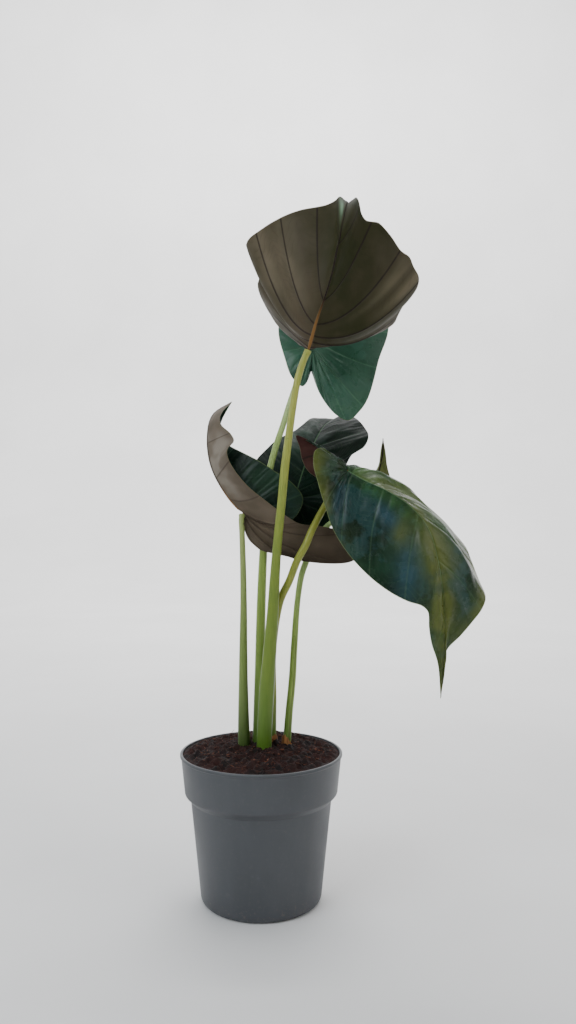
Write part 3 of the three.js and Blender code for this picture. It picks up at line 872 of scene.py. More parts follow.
@dataclass(frozen=True)
class Earth(Finish):
    """Damp potting mix: dark brown crumbs with reddish and tan bits."""

    dark: Colour = (0.006, 0.003, 0.003)
    brown: Colour = (0.030, 0.012, 0.010)
    tan: Colour = (0.15, 0.055, 0.03)

    def dress(self, skin: Skin) -> None:
        """Mixes browns by patches and by each bit's own shade, and crumbles the skin.

        Args:
            skin: the material's graph.
        """
        shade, _, _ = skin.parts("earth_at")
        patches = skin.patches(scale=55.0, low=0.3, high=0.7)
        colour = skin.mix(patches, self.dark, self.brown)
        colour = skin.lay(colour, self.tan, skin.patches(scale=330.0, low=0.6, high=0.7), 0.4)
        skin.set(
            Base_Color=skin.mix(shade, colour, self.tan),
            Roughness=skin.level(patches, 0.72, 0.95),
            Normal=skin.grained(380.0, 0.6, 0.9),
            Specular_IOR_Level=0.2,
        )


@dataclass(frozen=True)
class DryFibre(Finish):
    """Dry plant skin, as on husks and the rootstock: warm brown with upright fibres."""

    pale: Colour = (0.42, 0.19, 0.06)
    dark: Colour = (0.10, 0.035, 0.012)

    def dress(self, skin: Skin) -> None:
        """Streaks the brown and wrinkles the skin along its fibres.

        Args:
            skin: the material's graph.
        """
        fibres = skin.fibres(scale=330.0, stretch=0.08)
        patches = skin.patches(scale=60.0, low=0.35, high=0.7)
        share = skin.plus(skin.times(fibres, 0.5), skin.times(patches, 0.4))
        skin.set(
            Base_Color=skin.mix(share, self.pale, self.dark),
            Roughness=skin.level(fibres, 0.6, 0.85),
            Normal=skin.bump(fibres, 0.4, 0.8),
        )


@dataclass(frozen=True)
class PaleFloor(Finish):
    """Matt pale floor and backdrop with the faintest clouding."""

    light: Colour = (0.80, 0.795, 0.79)
    shade: Colour = (0.75, 0.745, 0.74)

    def dress(self, skin: Skin) -> None:
        """Clouds the pale grey.

        Args:
            skin: the material's graph.
        """
        patches = skin.patches(scale=1.2, low=0.3, high=0.7)
        skin.set(
            Base_Color=skin.mix(patches, self.light, self.shade),
            Roughness=skin.level(patches, 0.75, 0.85),
        )


POT_PLASTIC = Moulded("pot_plastic")
POTTING_MIX = Earth("potting_mix")
HUSK_PAPER = DryFibre("husk_paper")
ROOTSTOCK = DryFibre("rootstock", pale=(0.17, 0.10, 0.05), dark=(0.05, 0.028, 0.015))
STALK_BRIGHT = StalkSkin("stalk_bright", foot=(0.08, 0.17, 0.02), middle=(0.15, 0.215, 0.024))
STALK_SHADED = StalkSkin(
    "stalk_shaded", foot=(0.07, 0.16, 0.022), middle=(0.30, 0.42, 0.09), top=(0.34, 0.46, 0.17)
)
STALK_YELLOW = StalkSkin("stalk_yellow", middle=(0.26, 0.28, 0.035), top=(0.25, 0.26, 0.04))
STALK_PALE = StalkSkin(
    "stalk_pale", foot=(0.022, 0.05, 0.012), middle=(0.18, 0.25, 0.06), top=(0.30, 0.36, 0.12),
    turn_low=0.4, turn_high=0.75,
)
# Leaf d's gloss: the blue-green patches and the blue accent zones are painted reflections of a bluish
# light.
UPPER_GLOSSY = LeafUpper(
    "leaf_upper_glossy", deep=(0.002, 0.012, 0.005), fresh=(0.008, 0.036, 0.017),
    painted_reflection=(0.016, 0.050, 0.050), olive_and_glow=(0.085, 0.102, 0.022), accent_and_reflection=(0.021, 0.057, 0.074),
    roughness=0.22, specular=0.18, vein_share=0.16,
)
UPPER_GREEN = LeafUpper(
    "leaf_upper", pale=(0.022, 0.075, 0.030), olive_and_glow=(0.018, 0.055, 0.018), accent_and_reflection=(0.03, 0.09, 0.045)
)
UPPER_BLUISH = LeafUpper(
    "leaf_upper_bluish", deep=(0.026, 0.076, 0.046), fresh=(0.048, 0.118, 0.072),
    painted_reflection=(0.040, 0.105, 0.07), vein=(0.12, 0.26, 0.14),
)
UPPER_SHADED = LeafUpper(
    "leaf_upper_shaded", deep=(0.0015, 0.006, 0.003), fresh=(0.003, 0.013, 0.006),
    painted_reflection=(0.004, 0.014, 0.009), pale=(0.03, 0.06, 0.04), margin=(0.03, 0.045, 0.02),
    roughness=0.4, coat=0.0, specular=0.09, vein_share=0.08,
)
# Painted shade: a darker copy of the upper side for the inner face of leaf e, which lies in shade.
UPPER_SHADED_INNER = LeafUpper(
    "leaf_upper_shaded_inner", deep=(0.003, 0.013, 0.007), fresh=(0.008, 0.030, 0.014),
    painted_reflection=(0.010, 0.032, 0.022), pale=(0.03, 0.06, 0.04), olive_and_glow=(0.006, 0.020, 0.010),
    margin=(0.05, 0.075, 0.03), roughness=0.32, coat=0.0, specular=0.2, vein_share=0.1,
)
UNDER_BROWN = LeafUnder("leaf_under")
UNDER_GREY = LeafUnder(
    "leaf_under_grey", dusk=(0.118, 0.090, 0.062), olive_and_glow=(0.042, 0.032, 0.020), pale=(0.26, 0.23, 0.19),
    vein=(0.045, 0.03, 0.022), vein_share=0.5,
)
UNDER_RUST = LeafUnder("leaf_under_rust", dusk=(0.045, 0.012, 0.010), olive_and_glow=(0.022, 0.008, 0.007))
UNDER_OLIVE = LeafUnder("leaf_under_olive", dusk=(0.12, 0.14, 0.035), vein_share=0.4)
PALE_FLOOR = PaleFloor("pale_floor")


class Side(Enum):
    """The two halves of a leaf, as seen from above with the tip ahead."""

    LEFT = 1
    RIGHT = -1


class Tone(Enum):
    """The colours that a zone can bring out on a leaf."""

    # olive tint, partly painted glow of light through the blade
    OLIVE_AND_GLOW = 0
    # paler tissue, partly painted highlight on the folds
    PALE_AND_HIGHLIGHT = 1
    # an accent colour of its own, and on leaf d's gloss a painted reflection
    ACCENT_AND_REFLECTION = 2


@dataclass(frozen=True)
class Zone:
    """A soft-edged patch of one tone on one half of a leaf.

    Attributes:
        side: the half that it lies on.
        tone: its colour.
        vein: the side vein that it lies at, counted from the notch.
        out: the way from midrib to margin that it lies at.
        spread: how far it reaches over each of these.
        strength: its share of the colour in its middle.
    """

    side: Side
    tone: Tone
    vein: float
    out: float
    spread: tuple[float, float]
    strength: float = 0.8

    def share(self, vein: Array, out: Array) -> Array:
        """Returns the zone's share of the colour, strength * exp(-(ways from its middle in spreads)^2)."""
        away = ((vein - self.vein) / self.spread[0]) ** 2 + ((out - self.out) / self.spread[1]) ** 2
        return self.strength * np.exp(-away)


@dataclass(frozen=True)
class Roll:
    """A pull on the side veins of one half that rolls it over.

    Attributes:
        side: the half that it acts on.
        vein: the vein that it pulls most, counted from the notch.
        spread: the number of veins beyond which it has no pull.
        shift: the pull on the veins' middle.
    """

    side: Side
    vein: float
    spread: float
    shift: tuple[float, float, float]

    def pull(self, vein: Array) -> Array:
        """Returns the shift at each vein, less by the square of the way from the roll's own vein."""
        return clamp(1 - ((vein - self.vein) / self.spread) ** 2)[:, None] * np.array(self.shift)


OPEN_VEINS = ((0.11, 0.11, 0), (0.22, 0.22, 0), (0.33, 0.33, 0), (0.45, 0.45, 0.05), (0.57, 0.57, 0.17),
              (0.69, 0.69, 0.34), (0.82, 0.82, 0.57))


@dataclass(frozen=True)
class LeafShape:
    """One leaf, in millimetres.

    Attributes:
        midrib: from the stalk to the tip.
        left: margin from the notch between the lobes, round the left lobe, and up to near the tip.
        right: the same round the right lobe.
        up: the way to the upper side, from the stalk on.
        bulge: the side veins' rise to the upper side, as a share of their length.
        wave: count, height and phase of the margin's waves.
        quilt: height of the swelling between two side veins.
        sweep: how far the side veins set off sideways before they turn to the tip, as the same share.
        veins: where each side vein meets the left margin, the right margin and the midrib, as shares.
        rolls: pulls that roll a half over.
        zones: patches of other colours, partly painted glow, highlight and reflection.
        pucker: height of the fine wrinkles between side veins.
        upper: finish of the upper side.
        under: finish of the underside.
    """

    midrib: Triples
    left: Triples
    right: Triples
    up: Triples
    bulge: float
    wave: tuple[float, float, float]
    quilt: float
    sweep: float = 0.12
    veins: Triples = OPEN_VEINS
    rolls: tuple[Roll, ...] = ()
    zones: tuple[Zone, ...] = ()
    pucker: float = 0.5
    upper: Finish = UPPER_GREEN
    under: Finish = UNDER_BROWN

    def between(self, column: int, vein: Array) -> Array:
        """Returns a column of the vein table, with notch and tip added, at veins and between them."""
        table = np.array([(0.0, 0.0, 0.0), *self.veins, (1.0, 1.0, 1.0)])
        return np.interp(vein, np.arange(len(table)), table[:, column])

    def along(self, side: Side, vein: Array) -> Array:
        """Returns the shares of a margin at veins, places between two of them in between."""
        return self.between(0 if side is Side.LEFT else 1, vein)

    def share(self, vein: Array) -> Array:
        """Returns the shares of the midrib at veins, places between two of them in between."""
        return self.between(2, vein)


LEAVES = {
    "a": LeafShape(
        midrib=[(67, -45, 787), (78, -72, 823), (89, -88, 852), (99, -98, 885), (107, -100, 924),
                (115, -82, 962), (121, -55, 988), (127, -20, 998)],
        left=[(56, 18, 806), (84, 48, 818), (113, 58, 823), (144, 60, 825), (166, 56, 829),
              (184, 50, 835), (197, 46, 845), (202, 38, 855), (211, 30, 867), (222, 20, 876),
              (228, 8, 888), (227, -4, 901), (218, -16, 913), (213, -24, 924), (200, -32, 931),
              (186, -42, 944), (174, -50, 954), (164, -56, 962), (155, -60, 963), (147, -62, 965),
              (141, -60, 974), (138, -54, 987), (134, -44, 1001)],
        right=[(56, 18, 806), (42, 50, 823), (28, 62, 841), (14, 70, 861), (2, 72, 877), (-6, 68, 893),
               (-7, 62, 908), (-1, 55, 918), (4, 48, 928), (-2, 44, 935), (-12, 36, 938), (-19, 28, 947),
               (-22, 20, 953), (-17, 8, 960), (-6, -5, 966), (10, -22, 972), (27, -36, 975),
               (46, -46, 979), (62, -54, 982), (79, -60, 984), (94, -60, 987), (104, -54, 993),
               (112, -44, 1002)],
        up=[(-0.2, 0.97, 0.2), (-0.2, 0.97, 0.1), (-0.2, 0.8, -0.5)],
        bulge=-0.12, wave=(5, 2, 0.5), quilt=3.5, sweep=0.24, pucker=0.7,
        veins=((0.11, 0.1, 0), (0.22, 0.21, 0.015), (0.351, 0.36, 0.047), (0.505, 0.589, 0.078),
               (0.648, 0.698, 0.135), (0.804, 0.828, 0.267), (0.91, 0.925, 0.55)),
        rolls=(Roll(Side.LEFT, 1, 2.2, (0, 0, 12)), Roll(Side.RIGHT, 1, 2.2, (0, 0, 12))),
        zones=(
            # Olive zones: olive tint, partly painted glow of light through the blade.
            Zone(Side.LEFT, Tone.OLIVE_AND_GLOW, 6.8, 0.5, (1.5, 2.0), 1.15),
            Zone(Side.LEFT, Tone.OLIVE_AND_GLOW, 3.9, 0.3, (1.6, 0.5), 0.8),
            Zone(Side.RIGHT, Tone.OLIVE_AND_GLOW, 7.3, 0.4, (1.35, 1.0), 1.1),
            # Pale zones: paler tissue, partly painted highlight on the folds.
            Zone(Side.LEFT, Tone.PALE_AND_HIGHLIGHT, 4.74, 0.9, (0.2, 0.5), 1.1),
            Zone(Side.LEFT, Tone.PALE_AND_HIGHLIGHT, 4.18, 0.95, (0.14, 0.4), 0.9),
            Zone(Side.RIGHT, Tone.PALE_AND_HIGHLIGHT, 5.0, 0.9, (0.35, 0.6), 0.7),
            Zone(Side.RIGHT, Tone.PALE_AND_HIGHLIGHT, 4.1, 0.8, (0.3, 0.5), 0.6),
            Zone(Side.RIGHT, Tone.ACCENT_AND_REFLECTION, 7.25, 0.66, (0.13, 0.22), 1.0),
        ),
    ),
    "b": LeafShape(
        midrib=[(78, 132, 826), (82, 140, 895), (92, 190, 952), (103, 250, 982), (111, 300, 960)],
        left=[(76, 130, 786), (63, 125, 761), (47, 125, 773), (34, 128, 804), (24, 134, 845),
              (26, 150, 889), (40, 185, 944), (63, 240, 979)],
        right=[(76, 130, 786), (96, 118, 735), (115, 112, 714), (135, 108, 705), (151, 108, 718),
               (164, 110, 737), (184, 125, 803), (200, 138, 849), (198, 165, 909), (170, 215, 964),
               (139, 270, 987)],
        up=[(-0.1, -0.85, 0.45), (-0.1, -0.5, 0.85), (-0.1, 0.3, 1)],
        bulge=0.07, wave=(5, 2, 1), quilt=2.5, upper=UPPER_BLUISH,
    ),
    "c": LeafShape(
        midrib=[(49, 52, 580), (63, 66, 627), (81, 98, 671), (100, 140, 702), (124, 185, 713),
                (148, 222, 687)],
        left=[(45, 52, 527), (27, 50, 518), (4, 55, 533), (-13, 64, 571), (-17, 74, 609), (-10, 88, 641),
              (10, 104, 665), (37, 126, 683), (61, 150, 702), (89, 180, 715)],
        right=[(45, 52, 527), (64, 48, 515), (90, 52, 530), (112, 66, 571), (119, 86, 613),
               (137, 98, 646), (159, 112, 663), (167, 126, 682), (164, 144, 698), (152, 165, 711),
               (139, 192, 719)],
        up=[(0.1, -0.85, 0.5), (0.1, -0.4, 0.9), (0.1, 0.5, 0.85)],
        bulge=0.06, wave=(5, 2, 1), quilt=2.0, upper=UPPER_SHADED,
        zones=(Zone(Side.LEFT, Tone.PALE_AND_HIGHLIGHT, 6.0, 0.5, (1.0, 0.35), 0.7),),
    ),
    "d": LeafShape(
        midrib=[(125, -14, 619), (147, -22, 606), (180, -34, 590), (211, -43, 568), (234, -50, 539),
                (247, -54, 496), (254, -56, 449), (257, -56, 389), (252, -50, 299)],
        left=[(121, -4, 630), (107, 4, 640), (89, 12, 652), (65, 24, 667), (51, 34, 675), (57, 42, 659),
              (61, 46, 638), (70, 42, 620), (90, 40, 607), (124, 40, 599), (165, 40, 593),
              (207, 42, 583), (245, 42, 568), (269, 38, 548), (287, 30, 526), (302, 22, 508),
              (310, 12, 487), (318, 0, 461), (323, -15, 438), (315, -25, 423), (299, -36, 406),
              (280, -45, 386), (261, -50, 366), (256, -52, 331)],
        right=[(121, -4, 630), (103, -14, 641), (86, -24, 651), (77, -30, 647), (75, -34, 628),
               (80, -38, 605), (86, -42, 581), (93, -44, 560), (102, -46, 536), (122, -50, 503),
               (150, -54, 472), (180, -58, 449), (205, -62, 436), (224, -64, 430), (232, -62, 422),
               (234, -60, 399), (238, -58, 377), (247, -55, 349)],
        up=[(0.05, -0.75, 0.65), (0.45, -0.75, 0.5), (0.3, -0.9, 0.2), (0.1, -1, 0)],
        bulge=0.055, wave=(4, 1.5, 0), quilt=2.5, pucker=3.0, upper=UPPER_GLOSSY, under=UNDER_RUST,
        veins=((0.11, 0.11, 0), (0.22, 0.22, 0), (0.33, 0.33, 0), (0.45, 0.45, 0.03), (0.57, 0.55, 0.19),
               (0.68, 0.66, 0.37), (0.79, 0.77, 0.57), (0.9, 0.89, 0.78)),
        rolls=(Roll(Side.LEFT, 3.3, 2.2, (0, -4, 30)),),
        zones=(
            # Olive zones: olive tint, partly painted glow of light through the blade.
            Zone(Side.RIGHT, Tone.OLIVE_AND_GLOW, 8.6, 0.5, (1.2, 1.5), 1.3),
            Zone(Side.RIGHT, Tone.OLIVE_AND_GLOW, 7.0, 0.25, (1.0, 0.4), 1.05),
            Zone(Side.RIGHT, Tone.OLIVE_AND_GLOW, 5.67, 0.4, (0.2, 0.14), 0.7),
            Zone(Side.RIGHT, Tone.OLIVE_AND_GLOW, 2.3, 1.0, (1.5, 0.26), 0.8),
            Zone(Side.RIGHT, Tone.OLIVE_AND_GLOW, 1.4, 0.6, (0.9, 0.4), 0.3),
            Zone(Side.RIGHT, Tone.PALE_AND_HIGHLIGHT, 5.2, 0.1, (0.8, 0.12), 0.6),
            # Painted reflection: blue patches of a bluish light's reflection on leaf d's gloss.
            Zone(Side.RIGHT, Tone.ACCENT_AND_REFLECTION, 6.0, 0.72, (0.35, 0.33), 0.7),
            Zone(Side.RIGHT, Tone.ACCENT_AND_REFLECTION, 5.25, 0.32, (0.3, 0.14), 0.8),
            Zone(Side.RIGHT, Tone.ACCENT_AND_REFLECTION, 3.6, 0.6, (0.35, 0.3), 0.7),
            Zone(Side.LEFT, Tone.OLIVE_AND_GLOW, 7.2, 0.0, (1.6, 0.3), 0.9),
            Zone(Side.LEFT, Tone.OLIVE_AND_GLOW, 8.6, 0.2, (0.9, 0.7), 1.3),
            Zone(Side.LEFT, Tone.OLIVE_AND_GLOW, 6.4, 1.0, (1.4, 0.18), 0.9),
            Zone(Side.LEFT, Tone.OLIVE_AND_GLOW, 4.9, 0.5, (1.0, 1.2), 0.6),
            Zone(Side.LEFT, Tone.PALE_AND_HIGHLIGHT, 4.3, 0.4, (1.5, 0.9), 0.9),
        ),
    ),
    "e": LeafShape(
        midrib=[(-27, 8, 559), (-49, 12, 583), (-74, 30, 626), (-84, 64, 673), (-79, 105, 714),
                (-51, 130, 737)],
        left=[(-14, -2, 515), (-2, -6, 505), (27, -8, 498), (63, -4, 488), (133, 10, 488),
              (148, 18, 504), (123, 16, 529), (89, 10, 539), (56, 2, 543), (33, -6, 557), (10, -8, 574),
              (-18, -8, 596), (-37, -6, 618), (-47, -2, 637), (-49, 6, 651), (-41, 14, 664),
              (-47, 26, 677), (-63, 50, 693), (-64, 88, 714)],
        right=[(-14, -2, 515), (1, 8, 519), (27, 12, 534), (53, 14, 557), (61, 14, 581), (45, 14, 603),
               (20, 16, 620), (-3, 20, 635), (-30, 32, 649), (-52, 52, 663), (-66, 72, 680),
               (-65, 98, 704)],
        up=[(0.8, 0.4, 0.4), (0.95, 0.1, 0.1), (0.9, -0.1, -0.4)],
        bulge=-0.12, wave=(5, 1.5, 1), quilt=2.0, upper=UPPER_SHADED_INNER, under=UNDER_GREY,
        veins=((0.11, 0.11, 0), (0.22, 0.22, 0), (0.33, 0.33, 0), (0.45, 0.45, 0.03), (0.57, 0.57, 0.14),
               (0.69, 0.69, 0.3), (0.82, 0.82, 0.55)),
        rolls=(Roll(Side.RIGHT, 3.3, 3.3, (-26, 12, -4)),),
        zones=(
            Zone(Side.LEFT, Tone.PALE_AND_HIGHLIGHT, 6.4, 0.5, (1.3, 0.8), 0.6),
            Zone(Side.LEFT, Tone.OLIVE_AND_GLOW, 1.3, 0.9, (1.3, 0.6), 0.8),
        ),
    ),
    "g": LeafShape(
        midrib=[(125, 46, 555), (151, 56, 583), (173, 63, 613), (182, 65, 643), (184, 64, 673)],
        left=[(117, 46, 542), (133, 52, 530), (170, 66, 548), (193, 76, 583), (196, 74, 612),
              (190, 68, 637)],
        right=[(117, 46, 542), (108, 52, 555), (124, 66, 578), (153, 76, 606), (173, 74, 623),
               (180, 68, 647)],
        up=[(-0.3, 0.9, 0.3), (-0.3, 0.9, 0)],
        bulge=-0.12, wave=(3, 1, 0), quilt=1.2, under=UNDER_OLIVE,
        veins=((0.14, 0.14, 0), (0.28, 0.28, 0), (0.43, 0.43, 0.02), (0.57, 0.57, 0.2), (0.71, 0.71, 0.42),
               (0.85, 0.85, 0.68)),
    ),
}
LEAF_LAYERS = ("leaf_mm", "leaf_at", "leaf_tone")


@dataclass
class Sheet:
    """A leaf's mid surface, with what the finish needs at each corner of its triangles.

    Attributes:
        points: its points.
        faces: its triangles, which look to the upper side.
        normals: a unit normal for each point.
        mm: distances of each point to the nearest side vein, the midrib and the margin.
        share: how far up the midrib each point's side vein sets off.
        corners: for each triangle's corners the same distances, then vein, out and share, then the
            shares of the three tones.
    """

    points: Array
    faces: Array
    normals: Array
    mm: Array
    share: Array
    corners: Array


@dataclass
class Blade:
    """One leaf blade, a thin closed skin with grooved veins above and raised ones below."""

    name: str
    shape: LeafShape
    thickness: float = 0.7
    rim_share: float = 0.45
    rim_width: float = 2.5
    lobe: float = 0.42
    vein_height: float = 0.75
    vein_width: float = 1.5
    vein_lean: float = 0.75
    rib_height: float = 2.6
    rib_width: float = 3.4
    rib_taper: float = 0.82
    hub_height: float = 0.35
    hub_width: float = 5.5
    hub_share: float = 0.05
    groove: float = 0.45
    groove_most: float = 1.1
    wave_power: float = 2.2
    wave_fades: tuple[float, float] = (0.08, 0.12)
    arch_power: float = 1.4
    quilt_fade: float = 0.15
    pucker_fade: float = 0.1
    wrinkles: tuple[tuple[float, float, float, int], ...] = ((2.9, 3.4, 1.0, 0), (6.1, 7.7, 0.5, 5))
    cell_steps: tuple[float, ...] = (0, 0.014, 0.03, 0.055, 0.09, 0.14, 0.21, 0.3, 0.4)
    first_columns: tuple[float, ...] = (0, 0.006, 0.013, 0.022, 0.033, 0.047, 0.065, 0.09, 0.12)
    middle_columns: tuple[float, float, int] = (0.155, 0.965, 24)
    last_columns: tuple[float, ...] = (0.982, 0.992, 1.0)
    off_veins: float = 50.0
    seed: int = 3

    def columns(self) -> Array:
        """Returns the steps from midrib to margin, close at both."""
        middle = np.linspace(*self.middle_columns)
        return np.concatenate([self.first_columns, middle, self.last_columns])

    def rows(self) -> Array:
        """Works out the steps from the notch to the tip, close at each side vein.

        Returns:
            The steps, counted in side veins.
        """
        half = np.array(self.cell_steps)
        cell = np.concatenate([half, [0.5], 1.0 - half[:0:-1]])
        cells = len(self.shape.veins) + 1
        return np.append((np.arange(cells)[:, None] + cell).ravel(), cells)

    def half(self, side: Side, vein: Array, out: Array) -> Array:
        """Works out one half of the smooth sheet.

        A side vein runs from the midrib to the margin as (1-o)^2 origin + 2o(1-o) middle + o^2 end, where
        middle lies half way, raised by the bulge, set back along the midrib by the sweep and pulled aside
        by the rolls.

        Args:
            side: which half.
            vein: steps from the notch to the tip, counted in side veins.
            out: steps from midrib to margin.

        Returns:
            The points, by vein and out.
        """
        shape = self.shape
        midrib = SmoothCurve(shape.midrib)
        margin = SmoothCurve([*(shape.left if side is Side.LEFT else shape.right), shape.midrib[-1]])
        along, share = shape.along(side, vein), shape.share(vein)
        origin, ahead, end = midrib.at(share), midrib.ahead(share), margin.at(along)
        up = SmoothCurve(shape.up, even=True).at(share)
        up = unit(up - ahead * np.sum(up * ahead, axis=1, keepdims=True))
        reach = np.linalg.norm(end - origin, axis=1)
        forward = clamp(2 * along / self.lobe - 1)
        middle = (origin + end) / 2 + up * (2 * shape.bulge * reach)[:, None]
        middle = middle - ahead * (shape.sweep * forward * reach)[:, None]
        for roll in shape.rolls:
            if roll.side is side:
                middle = middle + roll.pull(vein)
        o = out[None, :, None]
        return (1 - o) ** 2 * origin[:, None] + 2 * o * (1 - o) * middle[:, None] + o**2 * end[:, None]

    def relief(self, side: Side, vein: Array, out: Array) -> Array:
        """Works out how far the sheet stands off the smooth one, towards the upper side.

        The sum of the margin's waves, sin along it by a power of out, of the swelling between two side
        veins, one minus the square of the way from the middle, and of two sizes of noise as wrinkles.

        Args:
            side: which half.
            vein: steps from the notch to the tip, counted in side veins.
            out: steps from midrib to margin.

        Returns:
            The heights, by vein and out.
        """
        along = self.shape.along(side, vein)[:, None]
        vein, out = vein[:, None], out[None, :]
        to_tip = 1 - along
        count, height, start = self.shape.wave
        fade = clamp(along / self.wave_fades[0]) * clamp(to_tip / self.wave_fades[1])
        ripple = height * out**self.wave_power * np.sin(2 * np.pi * count * along + start) * fade
        in_cell = 2 * np.abs(vein % 1 - 0.5)
        arch = np.sin(np.pi * clamp(out)) ** self.arch_power
        swell = self.shape.quilt * (1 - in_cell**2) * arch * clamp(to_tip / self.quilt_fade)
        wrinkled = sum(
            share * cloudy(by_vein * vein, by_out * out, self.seed + side.value + shift)
            for by_vein, by_out, share, shift in self.wrinkles
        )
        small = self.shape.pucker * wrinkled * (1 - in_cell**4) * arch * clamp(to_tip / self.pucker_fade)
        return ripple + swell + small

    def sheet(self) -> Sheet:
        """Works out the whole mid surface, both halves joined at the midrib, the notch and the tip.

        Returns:
            The sheet.
        """
        vein, out = self.rows(), self.columns()
        shape = (len(vein), len(out))
        nearest = np.clip(np.round(vein), 1, len(self.shape.veins))
        points, relief, data, faces = [], [], [], []
        for number, side in enumerate(Side):
            half = self.half(side, vein, out)
            speed = np.linalg.norm(np.gradient(half, vein, axis=0), axis=2)
            reach = np.linalg.norm(half[:, -1] - half[:, 0], axis=1)[:, None]
            tone = np.zeros((len(Tone), *shape))
            for zone in self.shape.zones:
                if zone.side is side:
                    tone[zone.tone.value] += zone.share(vein[:, None], out[None, :])
            layers = (
                speed * np.abs(vein - nearest)[:, None], out * reach, (1 - out) * reach,
                vein[:, None], out, self.shape.share(vein)[:, None], *clamp(tone),
            )
            filled = [np.broadcast_to(layer, shape).ravel() for layer in layers]
            points.append(half.reshape(-1, 3))
            relief.append(self.relief(side, vein, out).ravel())
            data.append(np.stack(filled, axis=1))
            cells = grid_faces(*shape) + number * len(vein) * len(out)
            faces.append(cells if side is Side.RIGHT else cells[:, ::-1])
        return self.joined(*(np.concatenate(part) for part in (points, relief, data, faces)))

    @staticmethod
    def joined(points: Array, relief: Array, data: Array, faces: Array) -> Sheet:
        """Joins the halves and raises the sheet's relief along its normals.

        Args:
            points: the smooth points of both halves.
            relief: how far each is raised.
            data: the three distances, vein, out, share and the three tones of each.
            faces: triangles over them.

        Returns:
            The joined sheet, its corner data still by half.
        """
        _, first, where = np.unique(np.round(points, 3), axis=0, return_index=True, return_inverse=True)
        ends = where.ravel()[faces]
        whole = (ends[:, 0] != ends[:, 1]) & (ends[:, 1] != ends[:, 2]) & (ends[:, 2] != ends[:, 0])
        kept, ends = points[first], ends[whole]
        kept = kept + point_normals(kept, ends) * relief[first][:, None]
        return Sheet(
            points=kept,
            faces=ends,
            normals=point_normals(kept, ends),
            mm=data[first, :3],
            share=data[first, 5],
            corners=data[faces[whole]],
        )

    def ridge(self, sheet: Sheet) -> Array:
        """Works out how far veins and midrib stand out below the sheet.

        A side vein is height * exp(-(distance / width)^2), lower and narrower towards the margin. The
        midrib is the same, higher and wider, and tapers to the tip; round the stalk it ends in a hub.

        Args:
            sheet: the blade's mid surface.

        Returns:
            The height at each of the sheet's points.
        """
        vein, rib, edge = sheet.mm.T
        lean = 1.0 - self.vein_lean * clamp(rib / np.maximum(rib + edge, 1.0))
        veins = self.vein_height * lean * np.exp(-((vein / (self.vein_width * lean)) ** 2))
        taper = 1.0 - self.rib_taper * sheet.share
        beyond = clamp(sheet.share / self.hub_share)
        midrib = self.rib_height * taper * beyond * np.exp(-((rib / (self.rib_width * taper)) ** 2))
        hub = self.hub_height * np.exp(-((rib / self.hub_width) ** 2)) * (1 - beyond)
        return np.maximum(np.maximum(veins, midrib), hub)

    def build(self, sheet: Sheet) -> bpy.types.Object:
        """Makes the blade.

        The sheet's two faces are set apart by its thickness, thinner at the margin, the ridges stand out
        below and dip less above, and a strip closes the rim, its distances to the veins set so great that
        no vein shows on it.

        Args:
            sheet: the blade's mid surface.

        Returns:
            The blade.
        """
        ridge = self.ridge(sheet)
        edge = ease(sheet.mm[:, 2] / self.rim_width)
        half = self.thickness / 2 * (self.rim_share + (1 - self.rim_share) * edge)
        groove = self.groove * np.minimum(ridge, self.groove_most)
        top = sheet.points + sheet.normals * (half - groove)[:, None]
        bottom = sheet.points - sheet.normals * (half + ridge)[:, None]
        count = len(sheet.points)
        rim = rim_edges(sheet.faces, count)
        strip = strip_faces(rim[:, 0], rim[:, 1], count)[:, ::-1]
        at_rim = np.zeros((len(strip), 3, 9))
        at_rim[:, :, :2] = self.off_veins
        corners = np.concatenate([sheet.corners, sheet.corners[:, ::-1], at_rim])
        piece = mesh_piece(
            f"leaf_{self.name}",
            np.concatenate([top, bottom]),
            np.concatenate([sheet.faces, sheet.faces[:, ::-1] + count, strip]),
            [self.shape.upper.material(), self.shape.under.material()],
            np.repeat([0, 1, 0], [len(sheet.faces), len(sheet.faces), len(strip)]),
            corner_data=dict(zip(LEAF_LAYERS, np.split(corners, 3, axis=2))),
        )
        settle(piece, f"blade_{self.name}")
        return piece


@dataclass(frozen=True)
class StalkShape:
    """One stalk, in millimetres.

    Attributes:
        path: centre line from the rootstock to the blade.
        radius: its radius at each point of the path.
        sheath: the share of its length that the sheath's edge runs up.
        turn: where round the stalk that edge lies.
        skin: its finish.
    """

    path: Triples
    radius: Sequence[float]
    sheath: float = 0.45
    turn: float = 4.2
    skin: Finish = STALK_BRIGHT


